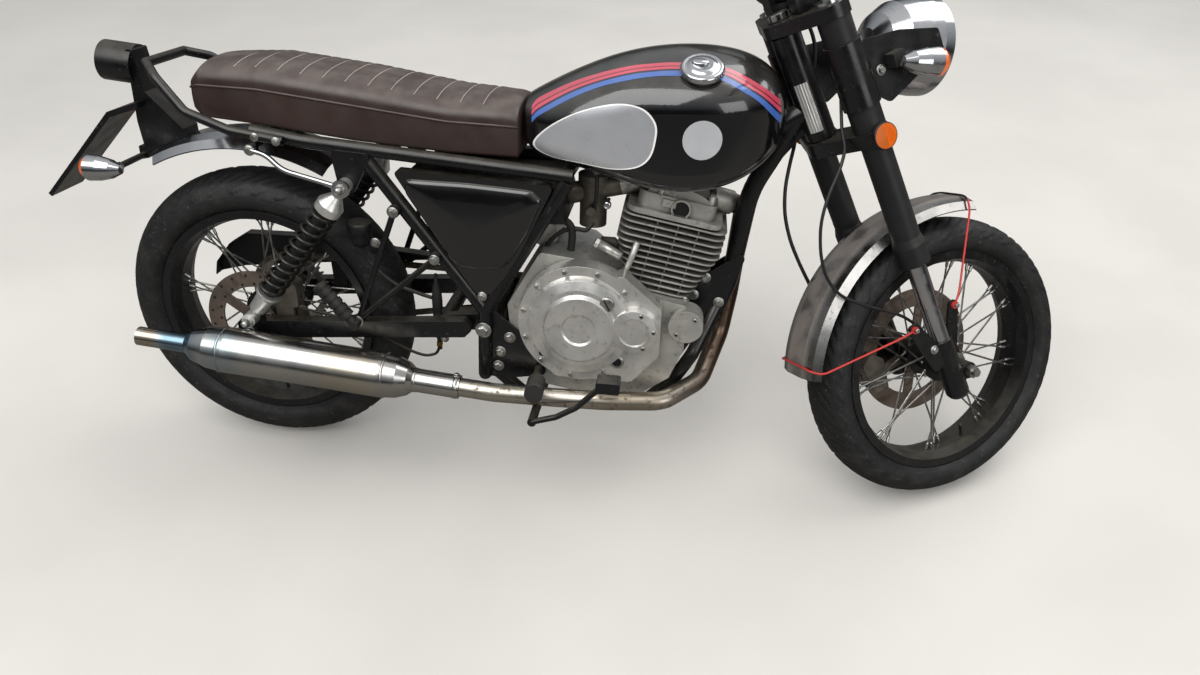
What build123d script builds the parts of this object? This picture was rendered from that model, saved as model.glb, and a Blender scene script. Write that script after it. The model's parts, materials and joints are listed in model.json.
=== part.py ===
from build123d import *
import math
import os

# Cafe racer motorcycle, parked on its side stand with the handlebar turned to the left stop.
# Every piece is drawn on the upright machine: X forward from the rear axle, Y to the left,
# Z up from the floor, in millimetres. What steers is drawn in the fork's own frame: X ahead of
# the steering axis, Y to the left, Z up along the axis from the height of the front axle.
# Both are set down on the floor at the end of the file.

# Driving dimensions
WHEELBASE = 1420.0
RAKE = 27.0
STEER = 29.6
LEAN = 9.5
GAP = 0.3
AXLE_AHEAD = 70.4

# Wheels: rim lip radius, tyre radius and half widths
LIP_RADIUS = 231.0
RIM_SEAT = 221.7
RIM_WELL = 205.0
FRONT_TYRE_RADIUS = 293.0
FRONT_TYRE_HALF = 55.0
FRONT_RIM_HALF = 42.5
REAR_TYRE_RADIUS = 307.0
REAR_TYRE_HALF = 63.0
REAR_RIM_HALF = 50.0
RIM_LIP = 3.3
SPOKES_A_SIDE = 18
SPOKE_RADIUS = 2.0
SPOKE_TURN = 32.0
SPOKE_STAGGER = 3.0
AXLE_RADIUS = 8.0

# Share of the half width and of the height over the rim lip, from the tread to the bead
TYRE_PROFILE = ((0.22, 1.0), (0.60, 0.885), (0.88, 0.65), (1.0, 0.36))

# Hubs and brakes: flange place and radius, then each end's journal, seat face, seat and journal radius
FRONT_FLANGE = (27.0, 44.0)
FRONT_DISC_Y = 60.0
FRONT_DISC_RADIUS = 135.0
FRONT_DISC_BAND = 38.0
REAR_FLANGE = (30.0, 52.0)
REAR_DISC_Y = -80.0
REAR_DISC_RADIUS = 112.0
REAR_DISC_BAND = 34.0
DISC_HALF = 2.0
JOURNAL = 20.0

# Chain line and sprockets
CHAIN_Y = 83.0
CHAIN_PITCH = 12.7
REAR_TEETH = 42
FRONT_TEETH = 15
TOOTH_REACH = 4.0
SPROCKET_THICK = 6.0
LINK_HALF = 5.0
LINK_THICK = 2.0
OUTPUT_SHAFT = (560.0, 352.0)

# Swingarm, shocks and frame tubes
PIVOT = (490.0, 350.0)
PIVOT_RADIUS = 15.0
ARM_Y = 108.0
ARM_HALF = 13.0
SHOCK_Y = 136.0
SHOCK_FOOT = (11.0, 340.0)
SHOCK_HEAD = (237.0, 633.0)
TUBE_Y = 110.0
TUBE_RADIUS = 14.0
RAIL_RADIUS = 13.0
SPINE_RADIUS = 20.0
DOWN_RADIUS = 18.0
CRADLE_Y = 60.0
CRADLE_Z = 172.0
PLATE = 6.0

# Steering head, in the fork's frame
HEAD_LOW = 545.0
HEAD_HIGH = 741.0
HEAD_RADIUS = 27.0
HEAD_BORE = 20.0
STEM_RADIUS = 13.0
LEG_Y = 90.0
LEG_X = 41.0
STANCHION = 18.5
LOWER_YOKE = (514.0, 541.0)
TOP_YOKE = (745.0, 768.0)
SLIDER_TOP = 91.0
SLIDER_FOOT = -46.0
SLIDER_RADIUS = 22.5

# Middle of the parked machine's box, so that the origin lies under it
FRAME_SHIFT = (-626.9, -149.3)


def spun(corners):
    """Ring or drum about the Y axis from (y, radius) corners."""
    return revolve(Plane.YZ * make_face(Polyline(*corners, close=True)), Axis.Y)


def turned(corners):
    """Ring or drum about the Z axis from (radius, z) corners."""
    return revolve(Plane.XZ * make_face(Polyline(*corners, close=True)), Axis.Z)


def outline(corners, radius=0.0):
    """Flat shape through the corners, each rounded by the radius."""
    if radius == 0.0:
        return make_face(Polyline(*corners, close=True))
    return make_face(FilletPolyline(*corners, radius=radius, close=True))


def disc(x, z, radius):
    """Flat round shape in the side view."""
    return Pos(x, z) * Circle(radius)


def slab(shape, low, high):
    """Side view shape made solid between two distances across the machine."""
    side = Plane(origin=(0, high, 0), x_dir=(1, 0, 0), z_dir=(0, -1, 0))
    return extrude(side * shape, amount=high - low)


def plate(shape, low, high):
    """Plan view shape made solid between two heights."""
    return extrude(Pos(0, 0, low) * shape, amount=high - low)


def rod(start, end, radius):
    """Straight round bar."""
    a, b = Vector(*start), Vector(*end)
    return Part() + Solid.make_cylinder(radius, (b - a).length, Plane(origin=a, z_dir=b - a))


def tube(points, radius, bend):
    """Round bar along straight runs that are joined by tangent arcs."""
    path = FilletPolyline(*points, radius=bend)
    return sweep(Plane(origin=path @ 0, z_dir=path % 0) * Circle(radius), path=path)


def both_sides(shape):
    """The piece and its mirror image across the machine."""
    return shape + mirror(shape, about=Plane.XZ)


def joined(shapes):
    """Several pieces as one."""
    total = Part()
    for shape in shapes:
        total = total + shape
    return total


def row_value(rows, x, column):
    """Value of a section table's column at a place between its rows."""
    for before, after in zip(rows, rows[1:]):
        if before[0] <= x <= after[0]:
            share = (x - before[0]) / (after[0] - before[0])
            return before[column] + share * (after[column] - before[column])
    raise ValueError("no section there")


def head_frame():
    """Fork frame on the upright machine, straight ahead."""
    rake = math.radians(RAKE)
    ahead = Vector(math.cos(rake), 0, math.sin(rake))
    up = Vector(-math.sin(rake), 0, math.cos(rake))
    axle = Vector(WHEELBASE, 0, FRONT_TYRE_RADIUS)
    return Plane(origin=axle - ahead * AXLE_AHEAD, x_dir=ahead, z_dir=up).location


HEAD = head_frame()


def on_axis(along, ahead=0.0, left=0.0):
    """Point of the straight fork's frame on the upright machine."""
    return tuple((HEAD * Pos(ahead, left, along)).position)


# Setting down on the floor

def tyre_rings(radius, half_width):
    """Half of the tyre's outline as (y, radius), from the tread to the widest place."""
    height = radius - LIP_RADIUS
    return [(share * half_width, LIP_RADIUS + rise * height) for share, rise in TYRE_PROFILE]


def lowest(place, rings):
    """Height of the lowest point of a wheel, from its placed frame and its rings (y, radius)."""
    centre, side = place.position, (place * Pos(0, 1, 0)).position
    rise = side.Z - centre.Z
    drop = math.sqrt(1 - rise ** 2)
    return min(centre.Z + rise * y * s - radius * drop for y, radius in rings for s in (-1, 1))


def front_wheel_place(settle):
    return settle * HEAD * Rot(0, 0, STEER) * Pos(AXLE_AHEAD, 0, 0)


def rear_wheel_place(settle):
    return settle * Pos(0, 0, REAR_TYRE_RADIUS)


def settled():
    """Lean to the left, nose down until both tyres touch, then up to the floor."""
    nose = 0.0
    for _ in range(4):
        place = Rot(-LEAN, 0, 0) * Rot(0, nose, 0)
        front = lowest(front_wheel_place(place), tyre_rings(FRONT_TYRE_RADIUS, FRONT_TYRE_HALF))
        rear = lowest(rear_wheel_place(place), tyre_rings(REAR_TYRE_RADIUS, REAR_TYRE_HALF))
        nose += math.degrees(math.asin((front - rear) / WHEELBASE))
    return Pos(*FRAME_SHIFT, -rear) * place


SETTLE = settled()
STEERED = SETTLE * HEAD * Rot(0, 0, STEER)

# Side stand: pivot on the upright machine, foot from the pivot on the floor, way it folds
STAND_PIVOT = Vector(470.0, 126.0, 214.0)
STAND_FOOT = (62.0, 168.0)
STAND_FOLDED = Vector(-100.0, 12.0, 2.0)
STAND_LEG_END = 13.0
STAND_HALF = 10.0
STAND_PIN = 6.0


def stand_frame():
    """Frame of the parked stand, Z along its axis and X down its leg, with its length and swing."""
    pivot = (SETTLE * Pos(*STAND_PIVOT)).position
    down = Vector(*STAND_FOOT, STAND_LEG_END - pivot.Z)
    back = (SETTLE * Pos(*(STAND_PIVOT + STAND_FOLDED))).position - pivot
    place = Plane(origin=pivot, x_dir=down, z_dir=down.cross(back)).location
    return place, down.length, down.get_angle(back)


STAND_PLACE, STAND_LENGTH, STAND_SWING = stand_frame()


# Wheels

def tyre(radius, half_width, rim_half):
    bead = rim_half - RIM_LIP - GAP
    side = tyre_rings(radius, half_width) + [(bead, LIP_RADIUS + 1.0), (bead, RIM_SEAT + GAP)]
    return spun(side + [(-y, r) for y, r in reversed(side)])


def rim(half):
    inner = half - RIM_LIP
    side = [(half, LIP_RADIUS), (inner, RIM_SEAT), (-inner, RIM_SEAT), (-half, LIP_RADIUS)]
    return spun(side + [(-half, 214.0), (-20.0, RIM_WELL), (20.0, RIM_WELL), (half, 214.0)])


def hub_end(flange, barrel_radius, end, seat, seat_radius, journal):
    """Half of a hub's outline: its journal's end, a seat face, and the spokes' flange."""
    y, radius = flange
    return [(end, AXLE_RADIUS + GAP), (end, journal), (seat, journal), (seat, seat_radius),
            (seat - 7.0, seat_radius), (y + 9.0, barrel_radius), (y + 5.0, barrel_radius),
            (y + 5.0, radius), (y - 5.0, radius), (y - 9.0, barrel_radius)]


def rear_hub():
    disc_face = -REAR_DISC_Y - DISC_HALF - GAP
    sprocket_face = CHAIN_Y - SPROCKET_THICK / 2 - GAP
    left = hub_end(REAR_FLANGE, 36.0, CHAIN_Y + 3.0, sprocket_face, 50.0, JOURNAL)
    right = hub_end(REAR_FLANGE, 36.0, -REAR_DISC_Y + DISC_HALF, disc_face, 34.0, JOURNAL)
    return spun(left + [(-y, r) for y, r in reversed(right)])


def front_hub():
    left = hub_end(FRONT_FLANGE, 30.0, FRONT_DISC_Y + DISC_HALF, FRONT_DISC_Y - DISC_HALF - GAP, 38.0,
                   JOURNAL)
    right = hub_end(FRONT_FLANGE, 30.0, 50.0, 46.0, 28.0, JOURNAL)
    return spun(left + [(-y, r) for y, r in reversed(right)])


def spokes(flange_y, flange_radius):
    """Two crossing sets on each flange, set apart sideways so that they pass each other."""
    lean = math.radians(SPOKE_TURN)
    inner = flange_radius + GAP + 0.65 * SPOKE_RADIUS
    outer = RIM_WELL - 2 * GAP
    bars = []
    for side in (-1, 1):
        for index in range(SPOKES_A_SIDE):
            turn = 1 if index % 2 else -1
            start = 2 * math.pi * (index + 0.25 * side) / SPOKES_A_SIDE
            finish = start + turn * lean
            y = side * (flange_y + turn * SPOKE_STAGGER)
            a = Vector(inner * math.cos(start), y, inner * math.sin(start))
            b = Vector(outer * math.cos(finish), side * 9.0, outer * math.sin(finish))
            section = Plane(origin=a, z_dir=b - a) * RegularPolygon(SPOKE_RADIUS, 6)
            bars.append(extrude(section, amount=(b - a).length))
    return Compound(children=[bar.solid() for bar in bars])


def brake_disc(y, radius, band, arms):
    """Flat ring carried by arms from a ring on the hub's journal."""
    low, high = y - DISC_HALF, y + DISC_HALF
    ring = slab(Circle(radius) - Circle(radius - band), low, high)
    boss = slab(Circle(JOURNAL + 18.0) - Circle(JOURNAL + GAP), low, high)
    start = JOURNAL + 10.0
    reach = radius - band + 4.0 - start
    arm = Pos(start + reach / 2, 0) * Rectangle(reach, 22.0)
    spider = Sketch() + [Rot(0, 0, 360.0 * n / arms) * arm for n in range(arms)]
    return ring + boss + slab(spider, low, high)


def pitch_radius(teeth):
    return teeth * CHAIN_PITCH / (2 * math.pi)


def toothed(teeth):
    """Side view of a sprocket: a tooth rises and falls once in each link of the chain."""
    corners = []
    for tooth in range(teeth):
        for share, reach in ((0.0, -TOOTH_REACH), (0.36, -TOOTH_REACH), (0.55, TOOTH_REACH),
                             (0.81, TOOTH_REACH)):
            angle = 2 * math.pi * (tooth + share) / teeth
            radius = pitch_radius(teeth) + reach
            corners.append((radius * math.cos(angle), radius * math.sin(angle)))
    return outline(corners)


def rear_sprocket():
    """Toothed ring on arms, on the left of the rear hub."""
    low, high = CHAIN_Y - SPROCKET_THICK / 2, CHAIN_Y + SPROCKET_THICK / 2
    ring = slab(toothed(REAR_TEETH) - Circle(pitch_radius(REAR_TEETH) - 18.0), low, high)
    boss = slab(Circle(46.0) - Circle(JOURNAL + GAP), low, high)
    arm = Pos(56.0, 0) * Rectangle(36.0, 24.0)
    spider = Sketch() + [Rot(0, 0, 72.0 * n) * arm for n in range(5)]
    return ring + boss + slab(spider, low, high)


# Frame

RAIL = ((60.0, 720.0), (154.0, 707.0), (663.0, 672.0))
V_FOOT = (492.0, 387.0)
V_REAR_TOP = (264.0, 694.0)
V_FRONT_TOP = (652.0, 661.0)
LOWER_END = (488.0, 244.0)
SPINE = (on_axis(600.0, -10.0), (1000.0, 0.0, 742.0), (645.0, 0.0, 676.0))
DOWN_TUBE = (on_axis(605.0, -15.0), (992.0, 0.0, 634.0), (972.0, 0.0, 450.0), (950.0, 0.0, 380.0))
SEAT_TUBE = (300.0, 11.0)
TANK_TUBE = (645.0, 660.0, 13.0)
FENDER_TUBE = (66.0, 11.0)
FENDER_INNER = 386.0
FENDER_SHEET = 2.5
SHOCK_PLATE = (-SHOCK_Y + 12.0 + GAP, -TUBE_Y - 7.0)


def side_tube(points, radius, bend=0.0):
    """Frame tube in the plane of the side, given as (x, z), on both sides."""
    line = [(x, -TUBE_Y, z) for x, z in points]
    return both_sides(rod(*line, radius) if len(line) == 2 else tube(line, radius, bend))


def crossing(x, z, radius):
    """Tube from one side of the frame to the other."""
    return rod((x, -TUBE_Y, z), (x, TUBE_Y, z), radius)


def fender_top(x):
    """Height of the rear fender's crown."""
    return REAR_TYRE_RADIUS + math.sqrt((FENDER_INNER + FENDER_SHEET) ** 2 - x ** 2)


def stand_lug():
    """Plate, pin and washer that hold the side stand, on a stub from the frame's lower end."""
    end = (STAND_PLACE.inverse() * SETTLE * Pos(LOWER_END[0], TUBE_Y, LOWER_END[1])).position
    low, high = -STAND_HALF - GAP - PLATE, -STAND_HALF - GAP
    outer = Vector(end.X, end.Y).normalized() * 30.0
    shape = make_hull(Circle(15.0).edges() + (Pos(outer.X, outer.Y) * Circle(10.0)).edges())
    stub = rod((outer.X, outer.Y, (low + high) / 2), tuple(end), 9.0)
    pin = plate(Circle(STAND_PIN), low, STAND_HALF + GAP + 3.0)
    washer = plate(Circle(12.0), STAND_HALF + GAP, STAND_HALF + GAP + 3.0)
    return SETTLE.inverse() * STAND_PLACE * (plate(shape, low, high) + stub + pin + washer)


def main_frame():
    rails = side_tube(RAIL, RAIL_RADIUS, 300.0)
    vees = side_tube((V_REAR_TOP, V_FOOT), TUBE_RADIUS) + side_tube((V_FRONT_TOP, V_FOOT), TUBE_RADIUS)
    posts = side_tube((V_FOOT, LOWER_END), TUBE_RADIUS)
    ends = joined([Pos(x, -TUBE_Y, z) * Sphere(TUBE_RADIUS) for x, z in (V_FOOT, LOWER_END)])
    seat_z = row_value(SEAT_SECTIONS, SEAT_TUBE[0], 1) - GAP - SEAT_TUBE[1]
    fender_z = fender_top(FENDER_TUBE[0]) + GAP + FENDER_TUBE[1]
    cross = crossing(*TANK_TUBE) + crossing(SEAT_TUBE[0], seat_z, SEAT_TUBE[1])
    cross += crossing(FENDER_TUBE[0], fender_z, FENDER_TUBE[1])
    cross += crossing(*LOWER_END, 13.0) + crossing(*PIVOT, PIVOT_RADIUS)
    head = HEAD * turned(((HEAD_BORE, HEAD_LOW), (HEAD_RADIUS, HEAD_LOW), (HEAD_RADIUS, HEAD_HIGH),
                          (HEAD_BORE, HEAD_HIGH)))
    bore = HEAD * plate(Circle(HEAD_BORE), HEAD_LOW - 5.0, HEAD_HIGH + 5.0)
    spine = tube(SPINE, SPINE_RADIUS, 120.0)
    down = tube(DOWN_TUBE, DOWN_RADIUS, 200.0)
    cradle = tube([(953.0, -6.0, 395.0), (909.0, -CRADLE_Y, 300.0), (872.0, -CRADLE_Y, 232.0),
                   (812.0, -CRADLE_Y, CRADLE_Z), (560.0, -CRADLE_Y, CRADLE_Z),
                   (LOWER_END[0], -CRADLE_Y - 10.0, LOWER_END[1])], TUBE_RADIUS, 34.0)
    front_plate = slab(outline([(1002.0, 520.0), (925.0, 462.0), (893.0, 405.0), (925.0, 345.0),
                                (950.0, 350.0)], 8.0), -16.0 - PLATE, -16.0)
    rear_plate = slab(outline([(492.0, 400.0), (556.0, 345.0), (612.0, 275.0), (612.0, 248.0),
                               (545.0, 235.0), (488.0, 235.0)], 8.0), -CASE_HALF - GAP - PLATE,
                               -CASE_HALF - GAP)
    shock_plate = slab(outline([(224.0, 616.0), (250.0, 616.0), (292.0, 694.0), (212.0, 698.0)], 10.0),
                       *SHOCK_PLATE)
    x, z = STAY_LUG
    stay_lug = slab(outline([(x - 14.0, z + 30.0), (x + 14.0, z + 28.0), (x + 9.0, z - 9.0),
                             (x - 9.0, z - 9.0)], 4.0),
                    -TUBE_Y - RAIL_RADIUS, -TUBE_Y)
    gusset = slab(outline([on_axis(590.0, -20.0)[::2], on_axis(565.0, -20.0)[::2], (1010.0, 655.0),
                           (1000.0, 725.0)]),
                  -4.0, 4.0)
    mirrored = both_sides(ends + cradle + front_plate + rear_plate + shock_plate + stay_lug)
    return rails + vees + posts + mirrored + cross + head + spine + down + gusset + stand_lug() - bore


PEG_BRACKET = (237.0, 354.0)
STRUT_TOPS = ((328.0, 590.0), (402.0, 500.0))
BRACKET_Y = TUBE_Y + TUBE_RADIUS + GAP
BRACKET_THICK = 13.0
STRUT_RADIUS = 6.0


def peg_struts():
    """Triangular struts outside the frame that carry the passenger's pegs, both sides."""
    middle = BRACKET_Y + BRACKET_THICK / 2
    x, z = PEG_BRACKET
    struts = joined([rod((top[0], -middle, top[1]), (x, -middle, z), STRUT_RADIUS) for top in STRUT_TOPS])
    for place in (PEG_BRACKET, *STRUT_TOPS):
        struts += slab(disc(*place, 12.0), -BRACKET_Y - BRACKET_THICK, -BRACKET_Y)
    return both_sides(struts)


RIDER_PEG = ((600.0, 262.0), (610.0, 284.0), (616.0, 296.0))
RIBS = 5


def foot_pegs():
    """Rider's pegs on the frame's plates, and the passenger's ribbed pegs folded up and back."""
    inner, middle, tip = RIDER_PEG
    face = CASE_HALF + PLATE + 2 * GAP
    pegs = tube([(inner[0], -face, inner[1]), (inner[0], -face - 22.0, inner[1]),
                 (middle[0], -196.0, middle[1])],
                9.0, 30.0)
    pegs += rod((middle[0], -196.0, middle[1]), (tip[0], -262.0, tip[1]), 18.0)
    x, z = PEG_BRACKET
    y = -BRACKET_Y - BRACKET_THICK - GAP
    root = rod((x, y, z), (x, y - 24.0, z), 9.0)
    profile = [(0.0, 8.0), (9.0, 8.0), (9.0, 22.0)]
    for index in range(RIBS):
        low = 22.0 + 15.0 * index
        profile += [(15.0, low), (15.0, low + 10.0), (12.5, low + 10.0), (12.5, low + 15.0)]
    profile += [(15.0, 97.0), (15.0, 104.0), (0.0, 108.0)]
    folded = Plane(origin=(x, y - 15.0, z), z_dir=(-62.0, 0.0, 78.0)).location * turned(profile)
    return both_sides(pegs) + both_sides(root + folded)


# Swingarm and shocks

CROSS_TUBE = (400.0, 342.0)
SLEEVE_HALF = 94.0


def swingarm():
    """Two blades joined by a tube, and a sleeve round the pivot between the frame's posts."""
    axle_z = REAR_TYRE_RADIUS
    blade = outline([(-28.0, axle_z - 16.0), (60.0, 293.0), (450.0, 328.0), (466.0, 345.0), (450.0, 364.0),
                     (150.0, 338.0), (60.0, 331.0), (-28.0, axle_z + 16.0)], 6.0)
    arm = slab(blade, -ARM_Y - ARM_HALF, -ARM_Y + ARM_HALF)
    lug = slab(outline([(-10.0, 320.0), (32.0, 320.0), (24.0, 346.0), (-2.0, 346.0)], 4.0), SHOCK_PLATE[0],
               -ARM_Y)
    nut = slab(Pos(0, axle_z) * RegularPolygon(13.0, 6), -ARM_Y - ARM_HALF - 8.0, -ARM_Y)
    web = slab(outline([(388.0, 330.0), (480.0, 331.0), (480.0, 369.0), (388.0, 356.0)], 5.0), -90.0, -70.0)
    cross = rod((CROSS_TUBE[0], -ARM_Y, CROSS_TUBE[1]), (CROSS_TUBE[0], ARM_Y, CROSS_TUBE[1]), 15.0)
    sleeve = slab(disc(*PIVOT, 22.0), -SLEEVE_HALF, SLEEVE_HALF)
    end = ARM_Y + ARM_HALF + 14.0
    axle = rod((0.0, -end, axle_z), (0.0, end, axle_z), AXLE_RADIUS)
    collars = rod((0.0, CHAIN_Y + 3.0 + GAP, axle_z), (0.0, ARM_Y, axle_z), 14.0)
    collars += rod((0.0, REAR_DISC_Y - DISC_HALF - GAP, axle_z), (0.0, -ARM_Y, axle_z), 14.0)
    bore = slab(disc(*PIVOT, PIVOT_RADIUS + GAP), -SLEEVE_HALF - 1.0, SLEEVE_HALF + 1.0)
    return both_sides(arm + lug + nut + web) + cross + sleeve + axle + collars - bore


def shock_line(share):
    """Point on the right shock's centre line, as a share of its length from the foot."""
    foot = Vector(SHOCK_FOOT[0], -SHOCK_Y, SHOCK_FOOT[1])
    return foot + (Vector(SHOCK_HEAD[0], -SHOCK_Y, SHOCK_HEAD[1]) - foot) * share


SHOCK_LENGTH = (shock_line(1) - shock_line(0)).length
SHOCK_PLACE = Plane(origin=shock_line(0), z_dir=shock_line(1) - shock_line(0)).location
SPRING_LOW = 79.0
SPRING_HIGH = SHOCK_LENGTH - 62.0
DAMPER_RADIUS = 14.0
COILS = 7


def shock_bodies():
    """Eyes with dome nuts, lower cup, damper and upper cup of each rear shock."""
    profile = [(0.0, 6.0), (11.0, 6.0), (11.5, 22.0), (17.0, 30.0), (19.0, 66.0), (25.0, 74.0),
               (25.0, SPRING_LOW), (DAMPER_RADIUS, SPRING_LOW), (DAMPER_RADIUS, SPRING_HIGH),
               (26.0, SPRING_HIGH),
               (26.0, SPRING_HIGH + 16.0), (11.5, SPRING_HIGH + 38.0), (11.5, SHOCK_LENGTH - 8.0),
               (0.0, SHOCK_LENGTH - 8.0)]
    body = SHOCK_PLACE * turned(profile)
    for x, z in (SHOCK_FOOT, SHOCK_HEAD):
        body += slab(disc(x, z, 14.0), -SHOCK_Y - 12.0, -SHOCK_Y + 12.0)
        body += slab(disc(x, z, 9.0), -SHOCK_Y - 19.0, -SHOCK_Y)
    return both_sides(body)


def shock_springs():
    """Coils drawn as a closed stack of ribs round each damper."""
    low, high = SPRING_LOW + GAP, SPRING_HIGH - GAP
    pitch = (high - low) / COILS
    profile = [(DAMPER_RADIUS + GAP, high), (DAMPER_RADIUS + GAP, low)]
    for coil in range(COILS):
        base = low + coil * pitch
        profile += [(24.0, base + 0.15 * pitch), (24.0, base + 0.5 * pitch), (18.0, base + 0.75 * pitch)]
    return both_sides(SHOCK_PLACE * turned(profile))


STAY_LUG = (60.0, 689.0)
STAY_RADIUS = 5.0
STAY_EYE = 6.0


def shock_stays():
    """Bright bent stays from the rails' lugs to the upper bolts of the shocks."""
    upper = -TUBE_Y - RAIL_RADIUS - GAP
    lower = -SHOCK_Y - 12.0 - GAP
    route = [(STAY_LUG[0], upper - 5.5, STAY_LUG[1]), (92.0, upper - 8.0, 683.0),
             (122.0, upper - 13.0, 657.0),
             (196.0, lower - 1.0, 645.0), (SHOCK_HEAD[0] - 12.0, lower - 5.5, SHOCK_HEAD[1] + 7.0)]
    stay = tube(route, STAY_RADIUS, bend_radii(route)) + slab(disc(*STAY_LUG, 11.0), upper - STAY_EYE, upper)
    stay += slab(disc(*SHOCK_HEAD, 17.0), lower - STAY_EYE, lower)
    return both_sides(stay - slab(disc(*SHOCK_HEAD, 9.0 + GAP), lower - 20.0, lower + 20.0))


COVER_OUTLINE = (
    # x and z of the chain cover's upper edge, from behind the sprocket forwards
    (-172.0, 335.0), (-165.0, 366.0), (-128.0, 412.0), (-84.0, 440.0), (28.0, 442.0), (330.0, 418.0),
)
COVER_SHEET = 3.0


def chain_cover():
    """Thin cover round the rear sprocket and over the chain, with a tab on the left blade."""
    face = ARM_Y - ARM_HALF - GAP
    hem = [(x + COVER_SHEET, z) for x, z in COVER_OUTLINE[:2]]
    hem += [(x, z - COVER_SHEET) for x, z in COVER_OUTLINE[2:]]
    strip = slab(outline([*COVER_OUTLINE, *reversed(hem)]), 70.0, face)
    side = slab(outline([*COVER_OUTLINE, (330.0, 400.0), (18.0, 368.0), (-110.0, 352.0)]),
                face - COVER_SHEET, face)
    tab = slab(outline([(92.0, 395.0), (128.0, 398.0), (126.0, 322.0), (96.0, 320.0)], 5.0),
               face - COVER_SHEET, face)
    return strip + side + tab


def rear_caliper():
    """Caliper over the rear disc, on the inside of the right blade."""
    body = slab(outline([(38.0, 352.0), (96.0, 352.0), (96.0, 402.0), (60.0, 424.0), (30.0, 404.0)], 8.0),
                -97.0, -62.0)
    body -= slab(disc(0.0, REAR_TYRE_RADIUS, REAR_DISC_RADIUS + 4.0), REAR_DISC_Y - 4.0, REAR_DISC_Y + 4.0)
    carrier = outline([(46.0, 312.0), (84.0, 312.0), (84.0, 360.0), (46.0, 360.0)], 6.0)
    return body + slab(carrier, -ARM_Y + ARM_HALF + GAP, REAR_DISC_Y - 6.0)


# Engine

CRANK = (686.0, 387.0)
FILTER = (792.0, 390.0)
FRONT_CAP = (890.0, 388.0)
GENERATOR = (690.0, 380.0)
STARTER = (600.0, 530.0)
CASE_HALF = 100.0
CASE_LEFT = 70.0
COVER_FACE = 165.0
COVER_STEP = 140.0
TILT = 10.0
BARREL_BASE = (822.0, 425.0)
BARREL_LOW = 12.0
BARREL_HIGH = 168.0
FINS = 12
FIRST_FIN = 14.0
FIN_PITCH = 13.3
FIN_THICK = 3.4
INTAKE = ((815.0, 0.0, 648.0), (640.0, 0.0, 604.0))
INTAKE_STUB = 71.0
INTAKE_SPLIT = INTAKE[0][0] - INTAKE_STUB
INTAKE_RADIUS = 21.0
PORT = ((60.0, 10.0, 201.0), (104.0, 32.0, 193.0))


def tilted():
    """Frame of the barrel: Z up along the cylinder from the crankcase."""
    return Pos(BARREL_BASE[0], 0, BARREL_BASE[1]) * Rot(0, TILT, 0)


def barrel_point(x, z):
    """Side view place of a point in the barrel's frame."""
    point = (tilted() * Pos(x, 0, z)).position
    return (point.X, point.Z)


def engine_cases():
    """Crankcase block with the front lug, the starter, the front cap and the output sprocket."""
    seat = BARREL_LOW - GAP
    shape = outline([(535.0, 400.0), (545.0, 290.0), (610.0, 225.0), (700.0, 208.0), (800.0, 212.0),
                     (865.0, 262.0), (890.0, 330.0), (890.0, 405.0), barrel_point(68.0, seat),
                     barrel_point(-62.0, seat), (690.0, 505.0), (600.0, 515.0)], 10.0)
    block = slab(shape, -CASE_HALF, CASE_LEFT)
    lug = slab(outline([(870.0, 380.0), (918.0, 398.0), (918.0, 424.0), (870.0, 414.0)], 8.0), -16.0 + GAP,
               16.0 - GAP)
    starter = rod((STARTER[0], -40.0, STARTER[1]), (STARTER[0], 60.0, STARTER[1]), 26.0)
    cap = rod((FRONT_CAP[0], -70.0, FRONT_CAP[1]), (FRONT_CAP[0], -118.0, FRONT_CAP[1]), 34.0)
    low, high = CHAIN_Y - SPROCKET_THICK / 2, CHAIN_Y + SPROCKET_THICK / 2
    wheel = Pos(OUTPUT_SHAFT[0], 0, OUTPUT_SHAFT[1]) * slab(toothed(FRONT_TEETH), low, high)
    shaft = slab(disc(*OUTPUT_SHAFT, 13.0), 0.0, high + 4.0)
    return block + lug + starter + cap + wheel + shaft


def clutch_cover():
    """Right-hand cover with its raised round face and the filter cap."""
    skirt = disc(*CRANK, 122.0) + disc(*FILTER, 50.0)
    skirt += outline([(605.0, 300.0), (640.0, 268.0), (790.0, 268.0), (842.0, 330.0), (842.0, 430.0),
                      (760.0, 500.0)], 14.0)
    dome = turned(((0.0, -2.0), (104.0, -2.0), (98.0, 12.0), (80.0, 18.0), (72.0, 18.0), (66.0, 25.0),
                   (34.0, 25.0), (30.0, 22.0), (0.0, 22.0)))
    cap = turned(((0.0, -2.0), (46.0, -2.0), (44.0, 20.0), (30.0, 24.0), (28.0, 21.0), (0.0, 21.0)))
    body = slab(skirt, -COVER_STEP, -CASE_HALF - GAP)
    body += Pos(CRANK[0], -COVER_STEP, CRANK[1]) * Rot(X=90) * dome
    return body + Pos(FILTER[0], -COVER_STEP, FILTER[1]) * Rot(X=90) * cap


def left_covers():
    """Generator cover on the left."""
    profile = ((0.0, 0.0), (90.0, 0.0), (88.0, 38.0), (76.0, 50.0), (46.0, 54.0), (0.0, 54.0))
    return Pos(GENERATOR[0], CASE_LEFT + GAP, GENERATOR[1]) * Rot(X=-90) * turned(profile)


def cylinder():
    """Barrel with fins that grow towards the head."""
    barrel = plate(RectangleRounded(110.0, 112.0, 20.0), BARREL_LOW, BARREL_HIGH)
    for index in range(FINS):
        grow = min(1.0, index / (FINS - 5))
        fin = RectangleRounded(2 * (66.0 + 36.0 * grow), 2 * (74.0 + 8.0 * grow), 26.0)
        low = FIRST_FIN + FIN_PITCH * index
        barrel += plate(Pos(3.0, 0) * fin, low, low + FIN_THICK)
    return tilted() * barrel


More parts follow.
